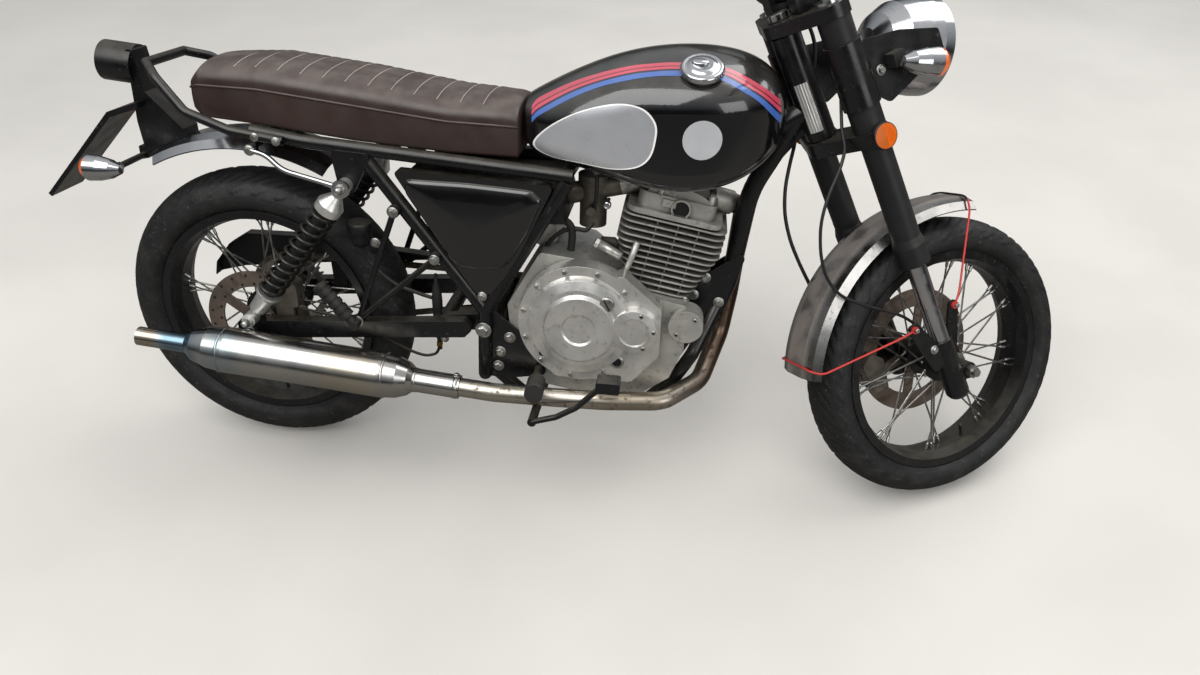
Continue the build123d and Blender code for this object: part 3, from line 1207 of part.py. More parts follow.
SPEEDO_CABLE = (
    # from the instrument, down behind the lower yoke, in a bow to the fender's edge, to the hub's drive
    (110.6, 0.0, 750.6), (121.0, -1.0, 727.0), (112.0, -14.0, 698.0), (90.0, -30.0, 669.0),
    (63.0, -41.0, 640.0), (36.0, -48.0, 612.0), (15.0, -61.0, 582.0), (-3.0, -72.0, 554.0),
    (-12.0, -80.0, 527.0), (-38.0, -84.0, 501.0), (-78.0, -84.0, 470.0), (-110.0, -82.0, 430.0),
    (-128.0, -78.0, 380.0), (-133.0, -74.0, 330.0), (-119.0, -71.0, 283.0), (-86.0, -69.0, 243.0),
    (-44.0, -66.0, 204.0), (-2.0, -63.0, 163.0), (26.0, -60.0, 118.0), (40.0, -59.0, 78.0),
    (48.6, -59.0, 46.6), (59.2, -59.0, 24.1),
)
BRAKE_HOSE = (
    # from the right perch, along the bar, over to the left and down behind the yoke to the caliper
    (44.0, -232.0, 855.4), (46.0, -227.0, 830.0), (51.0, -202.0, 807.0), (53.0, -160.0, 799.0),
    (54.0, -110.0, 801.0), (56.0, -60.0, 798.0), (57.0, -12.0, 801.0), (57.0, 36.0, 798.0),
    (67.0, 61.0, 781.0), (80.0, 61.0, 752.0), (87.0, 56.0, 720.0), (81.0, 50.0, 687.0), (64.0, 46.0, 655.0),
    (41.0, 46.0, 625.0), (19.0, 55.0, 594.0), (-3.0, 70.0, 560.0), (-14.0, 79.0, 530.0), (-36.0, 80.0, 503.0),
    (-66.0, 77.0, 466.0), (-88.0, 76.0, 420.0), (-98.0, 75.0, 367.0), (-98.0, 74.0, 312.0),
    (-94.0, 73.0, 258.0), (-89.0, 73.0, 204.0), (-84.0, 72.0, 152.0), (-76.0, 72.0, 108.0),
    (-69.3, 72.0, 84.8), (-55.2, 72.0, 58.3),
)
CABLE_RADIUS = 3.0
HOSE_RADIUS = 3.6


def cables():
    """Speedometer cable on the right and front brake hose to the left, each held at both ends."""
    speedo = tube(SPEEDO_CABLE, CABLE_RADIUS, bend_radii(SPEEDO_CABLE))
    return speedo + tube(BRAKE_HOSE, HOSE_RADIUS, bend_radii(BRAKE_HOSE))


def front_caliper():
    """Caliper behind the left leg, with its slot over the disc."""
    body = slab(outline([(-62.0, -20.0), (-30.0, -34.0), (-18.0, 40.0), (-40.0, 66.0), (-70.0, 50.0)], 10.0),
                FRONT_DISC_Y - 26.0, CALIPER_FACE)
    slot = Pos(AXLE_AHEAD, 0) * Circle(FRONT_DISC_RADIUS + 4.0)
    return body - slab(slot, FRONT_DISC_Y - 4.0, FRONT_DISC_Y + 4.0)


# Side stand

def side_stand():
    """Leg down to the floor on the left, with a flat foot."""
    leg = rod((0.0, 0.0, 0.0), (STAND_LENGTH, 0.0, 0.0), 9.0) + plate(Circle(17.0), -STAND_HALF, STAND_HALF)
    leg = STAND_PLACE * (leg - plate(Circle(STAND_PIN + GAP), -STAND_HALF - 1.0, STAND_HALF + 1.0))
    foot = (STAND_PLACE * Pos(STAND_LENGTH, 0, 0)).position
    floor = plate(RectangleRounded(300.0, 300.0, 10.0), -40.0, 0.0)
    return leg + Pos(foot.X, foot.Y, 0.0) * (plate(RectangleRounded(56.0, 38.0, 14.0), 0.0, 8.0)) - Pos(
        foot.X, foot.Y, 0.0) * floor


FRAME_NODES = {
    "main_frame": main_frame, "peg_struts": peg_struts, "foot_pegs": foot_pegs,
    "swingarm": swingarm, "shock_bodies": shock_bodies, "shock_springs": shock_springs,
    "shock_stays": shock_stays,
    "chain_cover": chain_cover, "rear_caliper": rear_caliper, "engine_cases": engine_cases,
    "clutch_cover": clutch_cover,
    "left_covers": left_covers, "cylinder": cylinder, "cylinder_head": cylinder_head,
    "carburettor": carburettor, "airbox": airbox, "exhaust_pipe": exhaust_pipe, "muffler": muffler,
    "fuel_tank": fuel_tank, "seat": seat, "side_panels": side_panels, "grab_rail": grab_rail,
    "rear_fender": rear_fender, "tail_lamp": tail_lamp, "rear_signals": rear_signals,
    "rear_lenses": rear_lenses, "foot_controls": foot_controls, "chain": chain, "filler_cap": filler_cap,
}

STEERING_NODES = {
    "top_yoke": top_yoke, "lower_yoke": lower_yoke, "fork_tubes": fork_tubes, "fork_covers": fork_covers,
    "fork_sliders": fork_sliders, "front_axle": front_axle, "handlebar": handlebar, "grips": grips,
    "levers": levers, "headlight_shell": headlight_shell, "headlight_lens": headlight_lens,
    "headlight_brackets": headlight_brackets, "front_signals": front_signals,
    "amber_lenses": amber_lenses, "instrument": instrument, "front_fender": front_fender,
    "front_caliper": front_caliper, "cables": cables, "red_wires": red_wires,
}

REAR_WHEEL_NODES = {
    "rear_tyre": lambda: tyre(REAR_TYRE_RADIUS, REAR_TYRE_HALF, REAR_RIM_HALF),
    "rear_rim": lambda: rim(REAR_RIM_HALF),
    "rear_spokes": lambda: spokes(*REAR_FLANGE),
    "rear_hub": rear_hub,
    "rear_brake_disc": lambda: brake_disc(REAR_DISC_Y, REAR_DISC_RADIUS, REAR_DISC_BAND, 5),
    "rear_sprocket": rear_sprocket,
}

FRONT_WHEEL_NODES = {
    "front_tyre": lambda: tyre(FRONT_TYRE_RADIUS, FRONT_TYRE_HALF, FRONT_RIM_HALF),
    "front_rim": lambda: rim(FRONT_RIM_HALF),
    "front_spokes": lambda: spokes(*FRONT_FLANGE),
    "front_hub": front_hub,
    "front_brake_disc": lambda: brake_disc(FRONT_DISC_Y, FRONT_DISC_RADIUS, FRONT_DISC_BAND, 6),
}

# Place of each group of pieces on the parked machine
GROUPS = (
    (SETTLE, FRAME_NODES),
    (STEERED, STEERING_NODES),
    (rear_wheel_place(SETTLE), REAR_WHEEL_NODES),
    (front_wheel_place(SETTLE), FRONT_WHEEL_NODES),
    (Pos(0, 0, 0), {"side_stand": side_stand}),
)


def main():
    os.makedirs("parts", exist_ok=True)
    for place, nodes in GROUPS:
        for name, make in nodes.items():
            export_step(place * make(), f"parts/{name}.step")


main()
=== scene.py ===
"""Looks of the cafe racer motorcycle: finishes, tyres, seat, paint and small parts around the fixed frame."""
import json
from math import copysign, cos, exp, pi, radians, sin, sqrt

import bpy
import numpy as np
from mathutils import Matrix, Vector
from mathutils.bvhtree import BVHTree


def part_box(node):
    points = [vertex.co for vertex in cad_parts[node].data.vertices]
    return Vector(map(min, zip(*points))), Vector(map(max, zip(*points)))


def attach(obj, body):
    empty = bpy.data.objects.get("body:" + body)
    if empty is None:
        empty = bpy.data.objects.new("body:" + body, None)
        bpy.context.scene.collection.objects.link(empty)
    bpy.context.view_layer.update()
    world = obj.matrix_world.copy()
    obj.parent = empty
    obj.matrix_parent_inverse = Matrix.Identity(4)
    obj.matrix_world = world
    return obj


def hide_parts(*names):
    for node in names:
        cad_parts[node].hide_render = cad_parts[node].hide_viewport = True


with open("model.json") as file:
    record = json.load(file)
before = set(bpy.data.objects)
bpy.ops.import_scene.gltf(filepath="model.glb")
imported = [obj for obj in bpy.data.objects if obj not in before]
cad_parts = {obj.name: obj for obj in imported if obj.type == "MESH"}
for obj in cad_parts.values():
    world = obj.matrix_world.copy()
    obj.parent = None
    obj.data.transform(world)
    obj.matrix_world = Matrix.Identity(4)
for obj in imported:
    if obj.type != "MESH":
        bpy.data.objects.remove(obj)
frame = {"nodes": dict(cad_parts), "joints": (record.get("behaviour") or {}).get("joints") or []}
NODES = frame["nodes"]
JOINTS = {joint["name"]: joint for joint in frame["joints"]}
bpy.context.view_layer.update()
RAKE = radians(27.0)
MM = 0.001
REAR_AXLE_HIGH = 0.307
FRONT_AXLE_AHEAD = 0.0704


# Frames of the upright machine and of the steered fork, in millimetres

def frame_matrix(y_axis, z_axis, origin):
    y, z = Vector(y_axis).normalized(), Vector(z_axis).normalized()
    x = y.cross(z).normalized()
    z = x.cross(y)
    turn = Matrix((x, y, z)).transposed()
    return Matrix.Translation(origin) @ (turn * MM).to_4x4()


def machine_frames():
    """Places of the bike's, the fork's and both wheels' frames."""
    rear, front, steer = JOINTS["rear_wheel_spin"], JOINTS["front_wheel_spin"], JOINTS["steering_turn"]
    across = Vector(rear["axis"]).normalized()
    up = Vector(steer["axis"]).normalized()
    ahead = across.cross(up).normalized()
    level_up = sin(RAKE) * ahead + cos(RAKE) * up
    axle = Vector(rear["pos_m"])
    bike = frame_matrix(across, level_up, axle - level_up.normalized() * REAR_AXLE_HIGH)
    hub = Vector(front["pos_m"])
    fork_x = Vector(front["axis"]).normalized().cross(up).normalized()
    fork = frame_matrix(front["axis"], up, hub - fork_x * FRONT_AXLE_AHEAD)
    return bike, fork, frame_matrix(across, level_up, axle), frame_matrix(front["axis"], up, hub)


BIKE, FORK, REAR_WHEEL, FRONT_WHEEL = machine_frames()


# Meshes

def moved(points, place):
    """Points carried along by a matrix."""
    matrix = np.array(place, float)
    return points @ matrix[:3, :3].T + matrix[:3, 3]


def put(name, data):
    """New object in the scene."""
    made = bpy.data.objects.new(name, data)
    bpy.context.scene.collection.objects.link(made)
    return made


class Shape:
    """One piece: rows of vertices, faces and finishes gathered in a frame's millimetres."""

    def __init__(self):
        self.points, self.faces, self.finishes, self.smooth = [], [], [], []

    def add(self, mesh, finish=0, smooth=True, at=None):
        points, faces = mesh
        points = np.asarray(points, float)
        if at is not None:
            points = moved(points, at)
        start = sum(len(p) for p in self.points)
        self.points.append(points)
        self.faces += [tuple(start + corner for corner in face) for face in faces]
        self.finishes += [finish] * len(faces)
        self.smooth += [smooth] * len(faces)

    def make(self, name, place, body, finishes, slot):
        """Builds the object at its place and lets it ride on a body."""
        mesh = bpy.data.meshes.new(name)
        mesh.from_pydata(moved(np.concatenate(self.points), place).tolist(), [], self.faces)
        mesh.polygons.foreach_set("material_index", self.finishes)
        mesh.polygons.foreach_set("use_smooth", self.smooth)
        for finish in finishes:
            mesh.materials.append(MATERIALS[finish])
        mesh.update()
        piece = put(name, mesh)
        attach(piece, body)
        return piece


def turned(faces, over=True):
    """Faces turned over, or as they are."""
    return [tuple(reversed(face)) for face in faces] if over else faces


def around(centre, radius, angles):
    """Points of a circle in side view, at angles in degrees."""
    for angle in angles:
        turn = radians(angle)
        yield centre[0] + radius * cos(turn), centre[1], centre[2] + radius * sin(turn)


def grid_faces(rows, columns, wrap_rows=False, wrap_columns=False):
    faces = []
    for row in range(rows if wrap_rows else rows - 1):
        after = (row + 1) % rows
        for column in range(columns if wrap_columns else columns - 1):
            beside = (column + 1) % columns
            faces.append((row * columns + column, row * columns + beside,
                          after * columns + beside, after * columns + column))
    return faces


def lathe(profile, steps):
    """Surface turned round Z from (radius, height) pairs."""
    points = [(r * cos(2 * pi * k / steps), r * sin(2 * pi * k / steps), h)
              for r, h in profile for k in range(steps)]
    return points, grid_faces(len(profile), steps, wrap_columns=True)


def spline(points, per_span=8, closed=False):
    """Points on a smooth curve through the given ones."""
    points = [Vector(p) for p in points]
    count = len(points)
    out = []
    for k in range(count if closed else count - 1):
        p1, p2 = points[k], points[(k + 1) % count]
        p0 = points[k - 1] if closed or k else p1 * 2 - p2
        p3 = points[(k + 2) % count] if closed or k + 2 < count else p2 * 2 - p1
        for step in range(per_span):
            t = step / per_span
            out.append(0.5 * (2 * p1 + (p2 - p0) * t + (2 * p0 - 5 * p1 + 4 * p2 - p3) * t * t
                              + (3 * p1 - p0 - 3 * p2 + p3) * t ** 3))
    if not closed:
        out.append(points[-1])
    return out


def tube(points, radius, sides, closed=False):
    """Round tube along points, with flat ends."""
    points = [Vector(p) for p in points]
    count = len(points)
    normal, rings = None, []
    for k, point in enumerate(points):
        if closed:
            along = points[(k + 1) % count] - points[k - 1]
        else:
            along = points[min(k + 1, count - 1)] - points[max(k - 1, 0)]
        along.normalize()
        if normal is None:
            normal = along.orthogonal().normalized()
        normal = (normal - along * normal.dot(along)).normalized()
        side = along.cross(normal)
        for step in range(sides):
            turn = 2 * pi * step / sides
            rings.append(point + (normal * cos(turn) + side * sin(turn)) * radius)
    faces = grid_faces(count, sides, wrap_rows=closed, wrap_columns=True)
    if not closed:
        faces += [tuple(reversed(range(sides))), tuple((count - 1) * sides + k for k in range(sides))]
    return rings, faces


def block(size, middle):
    """Plain box."""
    half = [s / 2 for s in size]
    points = [(middle[0] + i * half[0], middle[1] + j * half[1], middle[2] + k * half[2])
              for i in (-1, 1) for j in (-1, 1) for k in (-1, 1)]
    return points, [(0, 1, 3, 2), (4, 6, 7, 5), (0, 4, 5, 1), (2, 3, 7, 6), (0, 2, 6, 4), (1, 5, 7, 3)]


def aim(point, direction, spin=0.0):
    """Place at a point with Z along a direction."""
    turn = Vector(direction).to_track_quat("Z", "Y").to_matrix().to_4x4()
    return Matrix.Translation(Vector(point)) @ turn @ Matrix.Rotation(spin, 4, "Z")


def hex_bolt(shape, point, direction, radius, finish=0, washer=True, height=None):
    """Hexagon head on a washer."""
    height = height or radius * 0.75
    place = aim(point, direction, 0.3)
    if washer:
        ring = ((0.0, 1.6), (radius * 1.45, 1.6), (radius * 1.5, 1.2), (radius * 1.5, 0.0))
        shape.add(lathe(ring, 20), finish, True, place)
    head = ((0.0, 1.5 + height), (radius * 0.82, 1.5 + height), (radius, 1.1 + height * 0.85), (radius, 0.0))
    shape.add(lathe(head, 6), finish, False, place)


def dome_nut(shape, point, direction, radius):
    """Hexagon with a domed cap."""
    place = aim(point, direction)
    shape.add(lathe(((radius * 0.9, radius), (radius, radius * 0.8), (radius, 0.0)), 6), 0, False, place)
    dome = [(radius * 0.86 * cos(a), radius * (0.95 + 0.75 * sin(a)))
            for a in (1.57, 1.2, 0.8, 0.4, 0.0)]
    shape.add(lathe(dome, 16), 0, True, place)


def socket_screw(shape, point, direction, radius, finish=0, dark=1):
    """Round head with its socket coloured dark: painted shade in the recess."""
    place = aim(point, direction)
    head = ((0.52, 0.95), (0.86, 0.95), (1.0, 0.75), (1.0, 0.0))
    socket = ((0.0, 0.4), (0.5, 0.4), (0.52, 0.95))
    shape.add(lathe([(radius * r, radius * h) for r, h in head], 16), finish, True, place)
    # The socket's dark finish is painted shade.
    shape.add(lathe([(radius * r, radius * h) for r, h in socket], 6), dark, False, place)


# Finishes

def linear(colour):
    """Linear values of a hex colour."""
    parts = [int(colour[k:k + 2], 16) / 255 for k in (1, 3, 5)]
    return [c / 12.92 if c <= 0.04045 else ((c + 0.055) / 1.055) ** 2.4 for c in parts] + [1.0]


COAT_ROUGH = 0.04
# Range of the noise over which one cloud fades into the next
CLOUD = (0.3, 0.7)
GLOSS_SCALE = 30.0
RELIEF_DEPTH = 0.0006
EDGE_SAMPLES = 4
# Share of a tint's width over which it fades, and how far its edges wander in millimetres
TINT_FADE, TINT_WOBBLE = 0.35, 60.0


class Nodes:
    """Node tree with short calls for its nodes and links."""

    def __init__(self, tree):
        self.tree = tree

    def link(self, source, target):
        if isinstance(source, bpy.types.NodeSocket):
            self.tree.links.new(source, target)
        else:
            target.default_value = source

    def node(self, kind, inputs=None, **settings):
        """New shader node with its settings and the values or links of its inputs."""
        made = self.tree.nodes.new("ShaderNode" + kind)
        for key, value in settings.items():
            setattr(made, key, value)
        for key, value in (inputs or {}).items():
            self.link(value, made.inputs[key])
        return made


class Finish(Nodes):
    """Procedural finish with uneven colour and gloss, fine relief, and dust, spots and painted corner shade
    on demand.
    """

    def __init__(self, name, colour, rough, metal=0.0, coat=0.0):
        self.material = bpy.data.materials.new(name)
        self.material.use_nodes = True
        super().__init__(self.material.node_tree)
        self.shader = self.tree.nodes["Principled BSDF"]
        self.shader.inputs["Metallic"].default_value = metal
        self.shader.inputs["Coat Weight"].default_value = coat
        self.shader.inputs["Coat Roughness"].default_value = COAT_ROUGH
        self.where = self.node("TexCoord").outputs["Object"]
        self.colour = linear(colour)
        self.rough = rough

    def math(self, operation, a, b=0.0):
        return self.node("Math", {0: a, 1: b}, operation=operation).outputs[0]

    def noise(self, scale, detail=4.0):
        return self.node("TexNoise",
                         {"Scale": scale, "Detail": detail, "Vector": self.where}).outputs["Fac"]

    def ramp(self, value, low, high, out_low=0.0, out_high=1.0):
        inputs = {"Value": value, "From Min": low, "From Max": high, "To Min": out_low, "To Max": out_high}
        return self.node("MapRange", inputs, interpolation_type="SMOOTHSTEP").outputs["Result"]

    def mix(self, share, first, second, kind="RGBA"):
        inputs = {"Factor": share, "A": first, "B": second}
        return self.node("Mix", inputs, data_type=kind).outputs["Result"]

    def uneven(self, amount=0.12, scale=9.0, spread=0.06):
        """Cloudy colour and gloss."""
        dark = [c * (1 - amount) for c in self.colour[:3]] + [1.0]
        light = [min(1.0, c * (1 + amount)) for c in self.colour[:3]] + [1.0]
        self.colour = self.mix(self.ramp(self.noise(scale), *CLOUD), dark, light)
        gloss = max(0.02, self.rough - spread), min(1.0, self.rough + spread)
        self.rough = self.ramp(self.noise(GLOSS_SCALE), *CLOUD, *gloss)
        return self

    def cover(self, share, colour, rough):
        """Lays another colour and gloss over a share of the surface."""
        self.colour = self.mix(share, self.colour, linear(colour))
        self.rough = self.mix(share, self.rough, rough, "FLOAT")
        return self

    def dust_and_sheen(self, amount, colour="#8F8672", scale=35.0):
        """Dust that settles on what faces up; on the seat it also paints the sheen of the top."""
        normal = self.node("NewGeometry").outputs["Normal"]
        facing = self.node("SeparateXYZ", {0: normal})
        up = self.ramp(facing.outputs["Z"], 0.2, 1.0, 0.0, amount)
        patches = self.ramp(self.noise(scale, 6.0), 0.25, 0.75, 0.35, 1.0)
        return self.cover(self.math("MULTIPLY", up, patches), colour, 0.75)

    def corner_shade(self, amount=0.8, colour="#2B251E", reach=0.018):
        """Painted shade: a darker colour in corners and between fins, where ambient occlusion finds them."""
        near = self.node("AmbientOcclusion", {"Distance": reach}, samples=EDGE_SAMPLES)
        return self.cover(self.ramp(near.outputs["AO"], 0.25, 0.85, amount, 0.0), colour, 0.8)

    def spots(self, colour, rough, amount=0.7, scale=60.0, low=0.58, high=0.68):
        """Scattered spots of rust, chips or stains."""
        return self.cover(self.ramp(self.noise(scale, 8.0), low, high, 0.0, amount), colour, rough)

    def bump(self, height, strength, depth, inputs=None):
        """Fine bumps in the shader's normal."""
        made = self.node("Bump", {"Strength": strength, "Distance": depth, "Height": height,
                                            **(inputs or {})})
        self.link(made.outputs["Normal"], self.shader.inputs["Normal"])
        return self

    def relief(self, strength, scale, bevel=0.0):
        """Fine bumps, with rounded edges where a bevel radius is given."""
        inputs = {}
        if bevel:
            edge = self.node("Bevel", {"Radius": bevel}, samples=EDGE_SAMPLES)
            inputs["Normal"] = edge.outputs["Normal"]
        return self.bump(self.noise(scale, 3.0), strength, RELIEF_DEPTH, inputs)

    def along(self, place, axis):
        """Distance along an axis of a frame, in millimetres from its origin."""
        direction = Vector(place.col[axis][:3]).normalized()
        made = self.node("VectorMath", {0: self.where, 1: direction}, operation="DOT_PRODUCT")
        start = place.translation.dot(direction)
        return self.math("MULTIPLY", self.math("SUBTRACT", made.outputs["Value"], start), 1000.0)

    def done(self):
        self.link(self.colour, self.shader.inputs["Base Color"])
        self.link(self.rough, self.shader.inputs["Roughness"])
        return self.material


MATERIALS = {}


def finished(name, colour, rough, metal=0.0, coat=0.0, uneven=(0.12,), dust_and_sheen=(), spots=(), corner_shade=None,
             relief=(0.12, 140.0)):
    """Keeps a finish made from the values of its cloudiness, dust, spots, painted corner shade and relief."""
    made = Finish(name, colour, rough, metal, coat).uneven(*uneven)
    if dust_and_sheen:
        made.dust_and_sheen(*dust_and_sheen)
    if spots:
        made.spots(*spots)
    if corner_shade is not None:
        made.corner_shade(*corner_shade)
    MATERIALS[name] = made.relief(*relief).done()


def heated(name, tints, base="#BBB9B5", rough=0.2):
    """Bright metal with tints in bands along the bike: low, high, colour and share."""
    made = Finish(name, base, rough, 1.0).uneven(0.06, 12.0, 0.05)
    wobble = made.math("MULTIPLY", made.math("SUBTRACT", made.noise(14.0), 0.5), TINT_WOBBLE)
    where = made.math("ADD", made.along(BIKE, 0), wobble)
    for low, high, colour, share in tints:
        fade = TINT_FADE * (high - low)
        rise = made.ramp(where, low, low + fade)
        fall = made.ramp(where, high - fade, high, 1.0, 0.0)
        made.cover(made.math("MULTIPLY", made.math("MULTIPLY", rise, fall), share), colour, rough + 0.08)
    return made


# Each with name, colour, roughness, metal, coat, clouds and dust
finished("tank", "#08080A", 0.12, 0.0, 1.0, (0.2,), (0.26, "#7A766E", 18.0), relief=(0.03, 60.0))
finished("panel_black", "#08080A", 0.10, 0.0, 1.0, (0.2,), (0.15,), relief=(0.03, 60.0))
finished("knee", "#B2B3B6", 0.32, 0.5, 1.0, (0.05, 12.0), relief=(0.03, 300.0))
finished("white", "#E4E2DE", 0.3, 0.0, 0.8, (0.05,))
finished("roundel", "#B9BABC", 0.35, 0.3, 0.8, (0.08,))
for stripe, shade in (("red", "#C8455C"), ("dark_red", "#7E1F30"), ("navy", "#141A38"),
                      ("blue", "#3F66AE")):
    finished(stripe, shade, 0.25, 0.0, 1.0, (0.08,), (0.15,))
finished("black_paint", "#0B0B0D", 0.28, 0.0, 0.0, (0.25, 12.0, 0.08), (0.16,),
         ("#3A332C", 0.7, 0.5, 90.0, 0.64, 0.72), relief=(0.1, 180.0, 0.0008))
finished("matt_black", "#111113", 0.52, 0.0, 0.0, (0.2,), (0.16,), relief=(0.3, 500.0))
finished("chrome", "#C4C5C7", 0.17, 1.0, 0.0, (0.06, 20.0, 0.05),
         spots=("#8B7A66", 0.4, 0.35, 120.0, 0.62, 0.72), relief=(0.04, 60.0))
finished("steel", "#A9A7A2", 0.34, 1.0, 0.0, (0.15, 40.0, 0.1),
         spots=("#6B4A30", 0.7, 0.6, 160.0, 0.6, 0.7), relief=(0.1, 300.0))
finished("bolt", "#B4B3AE", 0.35, 1.0, 0.0, (0.2, 60.0, 0.1),
         spots=("#7A5A3C", 0.7, 0.5, 200.0, 0.58, 0.7), relief=(0.1, 300.0))
finished("disc", "#8A7C70", 0.42, 0.9, 0.0, (0.2, 18.0, 0.1),
         spots=("#57453A", 0.8, 0.6, 45.0, 0.5, 0.66), relief=(0.12, 400.0, 0.0006))
# The alloy gets painted shade, a darker colour in its corners and between its fins.
finished("alloy", "#C2C0B9", 0.42, 0.8, 0.0, (0.12, 22.0, 0.1),
         spots=("#6E675C", 0.7, 0.45, 70.0, 0.55, 0.7), corner_shade=(), relief=(0.35, 420.0, 0.0012))
finished("bright_alloy", "#D8D6D1", 0.34, 0.85, 0.0, (0.1, 22.0, 0.08),
         spots=("#77706A", 0.6, 0.3, 70.0), relief=(0.12, 300.0, 0.001))
finished("plastic", "#0F0F11", 0.45, dust_and_sheen=(0.16,), relief=(0.2, 400.0, 0.001))
finished("rubber", "#141313", 0.68, uneven=(0.2,), dust_and_sheen=(0.2,), relief=(0.3, 350.0))
# Near black: painted shade in sockets, slots and holes; also the dampers inside the springs and the oil level
# glass.
finished("dark", "#0A0A0B", 0.6)
finished("spring", "#0B0B0D", 0.28, uneven=(0.2,), dust_and_sheen=(0.15,))
finished("cable", "#141416", 0.5, uneven=(0.2,), dust_and_sheen=(0.1,))
finished("thread", "#A99A90", 0.8, uneven=(0.1,))
finished("brass", "#A8843E", 0.35, 1.0, uneven=(0.15,))
# The dull alloy gets painted shade in its corners.
finished("dull_alloy", "#6A645A", 0.5, 0.7, 0.0, (0.25, 40.0, 0.1), corner_shade=(), relief=(0.3, 300.0, 0.0012))
finished("amber_dark", "#B5560F", 0.2, 0.0, 0.8, relief=(0.3, 900.0))
# The chain gets painted shade, a darker colour between its links.
finished("chain", "#6F675B", 0.45, 0.9, 0.0, (0.25, 90.0, 0.1), corner_shade=(0.7, "#1A1510", 0.006),
         relief=(0.2, 300.0))

# Millimetres from a frame's middle between which one look fades into the other
FENDER_TOP = (22.0, 40.0)
LENS_SIDES = (58.0, 60.0)
WIRE_FRONT = (118.0, 122.0)
WIRE_MIDDLE = (50.0, 54.0)


def fender_finish():
    """Chrome dulled brown on top of the front fender, bright along its sides."""
    made = Finish("worn_chrome", "#94928F", 0.26, 1.0).uneven(0.1, 16.0, 0.06)
    top = made.ramp(made.math("ABSOLUTE", made.along(FORK, 1)), *FENDER_TOP, 1.0, 0.0)
    dull = made.math("MULTIPLY", top, made.ramp(made.noise(26.0, 8.0), 0.3, 0.62, 0.25, 0.85))
    made.cover(dull, "#857B73", 0.45).spots("#6B4A30", 0.6, 0.35, 120.0, 0.62, 0.72)
    made.link(made.math("SUBTRACT", 1.0, made.math("MULTIPLY", dull, 0.75)), made.shader.inputs["Metallic"])
    return made.relief(0.1, 140.0).done()


def seat_finish():
    """Dark brown vinyl with a fine grain, folds, and grey dust on its top that is partly a painted sheen."""
    # The strong grey dust on what faces up stands partly for a painted sheen on the top.
    made = Finish("vinyl", "#30231F", 0.38).uneven(0.16, 10.0, 0.08).dust_and_sheen(0.34, "#8F857D", 22.0)
    cells = made.node("TexVoronoi", {"Scale": 700.0, "Vector": made.where})
    folds = made.math("MULTIPLY", made.noise(45.0, 2.0), 2.0)
    return made.bump(made.math("ADD", cells.outputs["Distance"], folds), 0.25, 0.0004).done()


def tyre_finish():
    """Black tyre rubber, a little grey with dust."""
    made = Finish("tyre", "#101010", 0.62).uneven(0.15, 14.0, 0.08)
    made.spots("#4F4A44", 0.9, 0.16, 24.0, 0.45, 0.8).spots("#7A7468", 0.9, 0.2, 160.0, 0.6, 0.72)
    return made.relief(0.25, 500.0).done()


def lamp_glass(name, colour, transmission, rough=0.08, side_colour=None):
    """Ribbed lamp glass, in another colour at the bike's sides where one is given."""
    made = Finish(name, colour, rough, coat=0.6).uneven(0.08, 60.0, 0.03)
    if side_colour:
        made.cover(made.ramp(made.math("ABSOLUTE", made.along(BIKE, 1)), *LENS_SIDES), side_colour, rough)
    made.shader.inputs["Transmission Weight"].default_value = transmission
    wave = made.node("TexWave", {"Scale": 45.0, "Vector": made.where}, wave_type="BANDS")
    return made.bump(wave.outputs["Fac"], 0.25, 0.0008).done()


def wire_finish():
    """Red wire, black where it lies over the front end of the fender."""
    made = Finish("red_wire", "#B8322B", 0.35).uneven(0.12)
    ahead = made.ramp(made.along(FORK, 0), *WIRE_FRONT)
    middle = made.ramp(made.math("ABSOLUTE", made.along(FORK, 1)), *WIRE_MIDDLE, 1.0, 0.0)
    return made.cover(made.math("MULTIPLY", ahead, middle), "#121214", 0.5).relief(0.1, 300.0).done()


MUFFLER_TINTS = (
    # bike x from and to, colour and share
    (-170.0, -60.0, "#4E7C92", 0.75), (-80.0, 40.0, "#8FA9B4", 0.45), (150.0, 330.0, "#B9A77F", 0.35),
    (-215.0, -150.0, "#A58B62", 0.5), (330.0, 460.0, "#C6C2B8", 0.3),
)
PIPE_TINTS = (
    (840.0, 1300.0, "#6A4F3C", 0.9), (690.0, 900.0, "#9C8A70", 0.5), (900.0, 1200.0, "#50392C", 0.55),
)
MATERIALS["worn_chrome"] = fender_finish()
MATERIALS["seat"] = seat_finish()
MATERIALS["tyre"] = tyre_finish()
MATERIALS["muffler"] = heated("muffler", MUFFLER_TINTS).relief(0.06, 30.0).done()
MATERIALS["pipe"] = heated("pipe", PIPE_TINTS, "#B9B2A6", 0.3).spots(
    "#4A3324", 0.8, 0.6, 70.0, 0.55, 0.68).relief(0.2, 220.0).done()
MATERIALS["amber"] = lamp_glass("amber", "#F06A10", 0.25)
MATERIALS["red_glass"] = lamp_glass("red_glass", "#A3141A", 0.25, side_colour="#E8650F")
MATERIALS["red_wire"] = wire_finish()
MATERIALS["clear_glass"] = lamp_glass("clear_glass", "#D8DDE0", 0.6, 0.04)

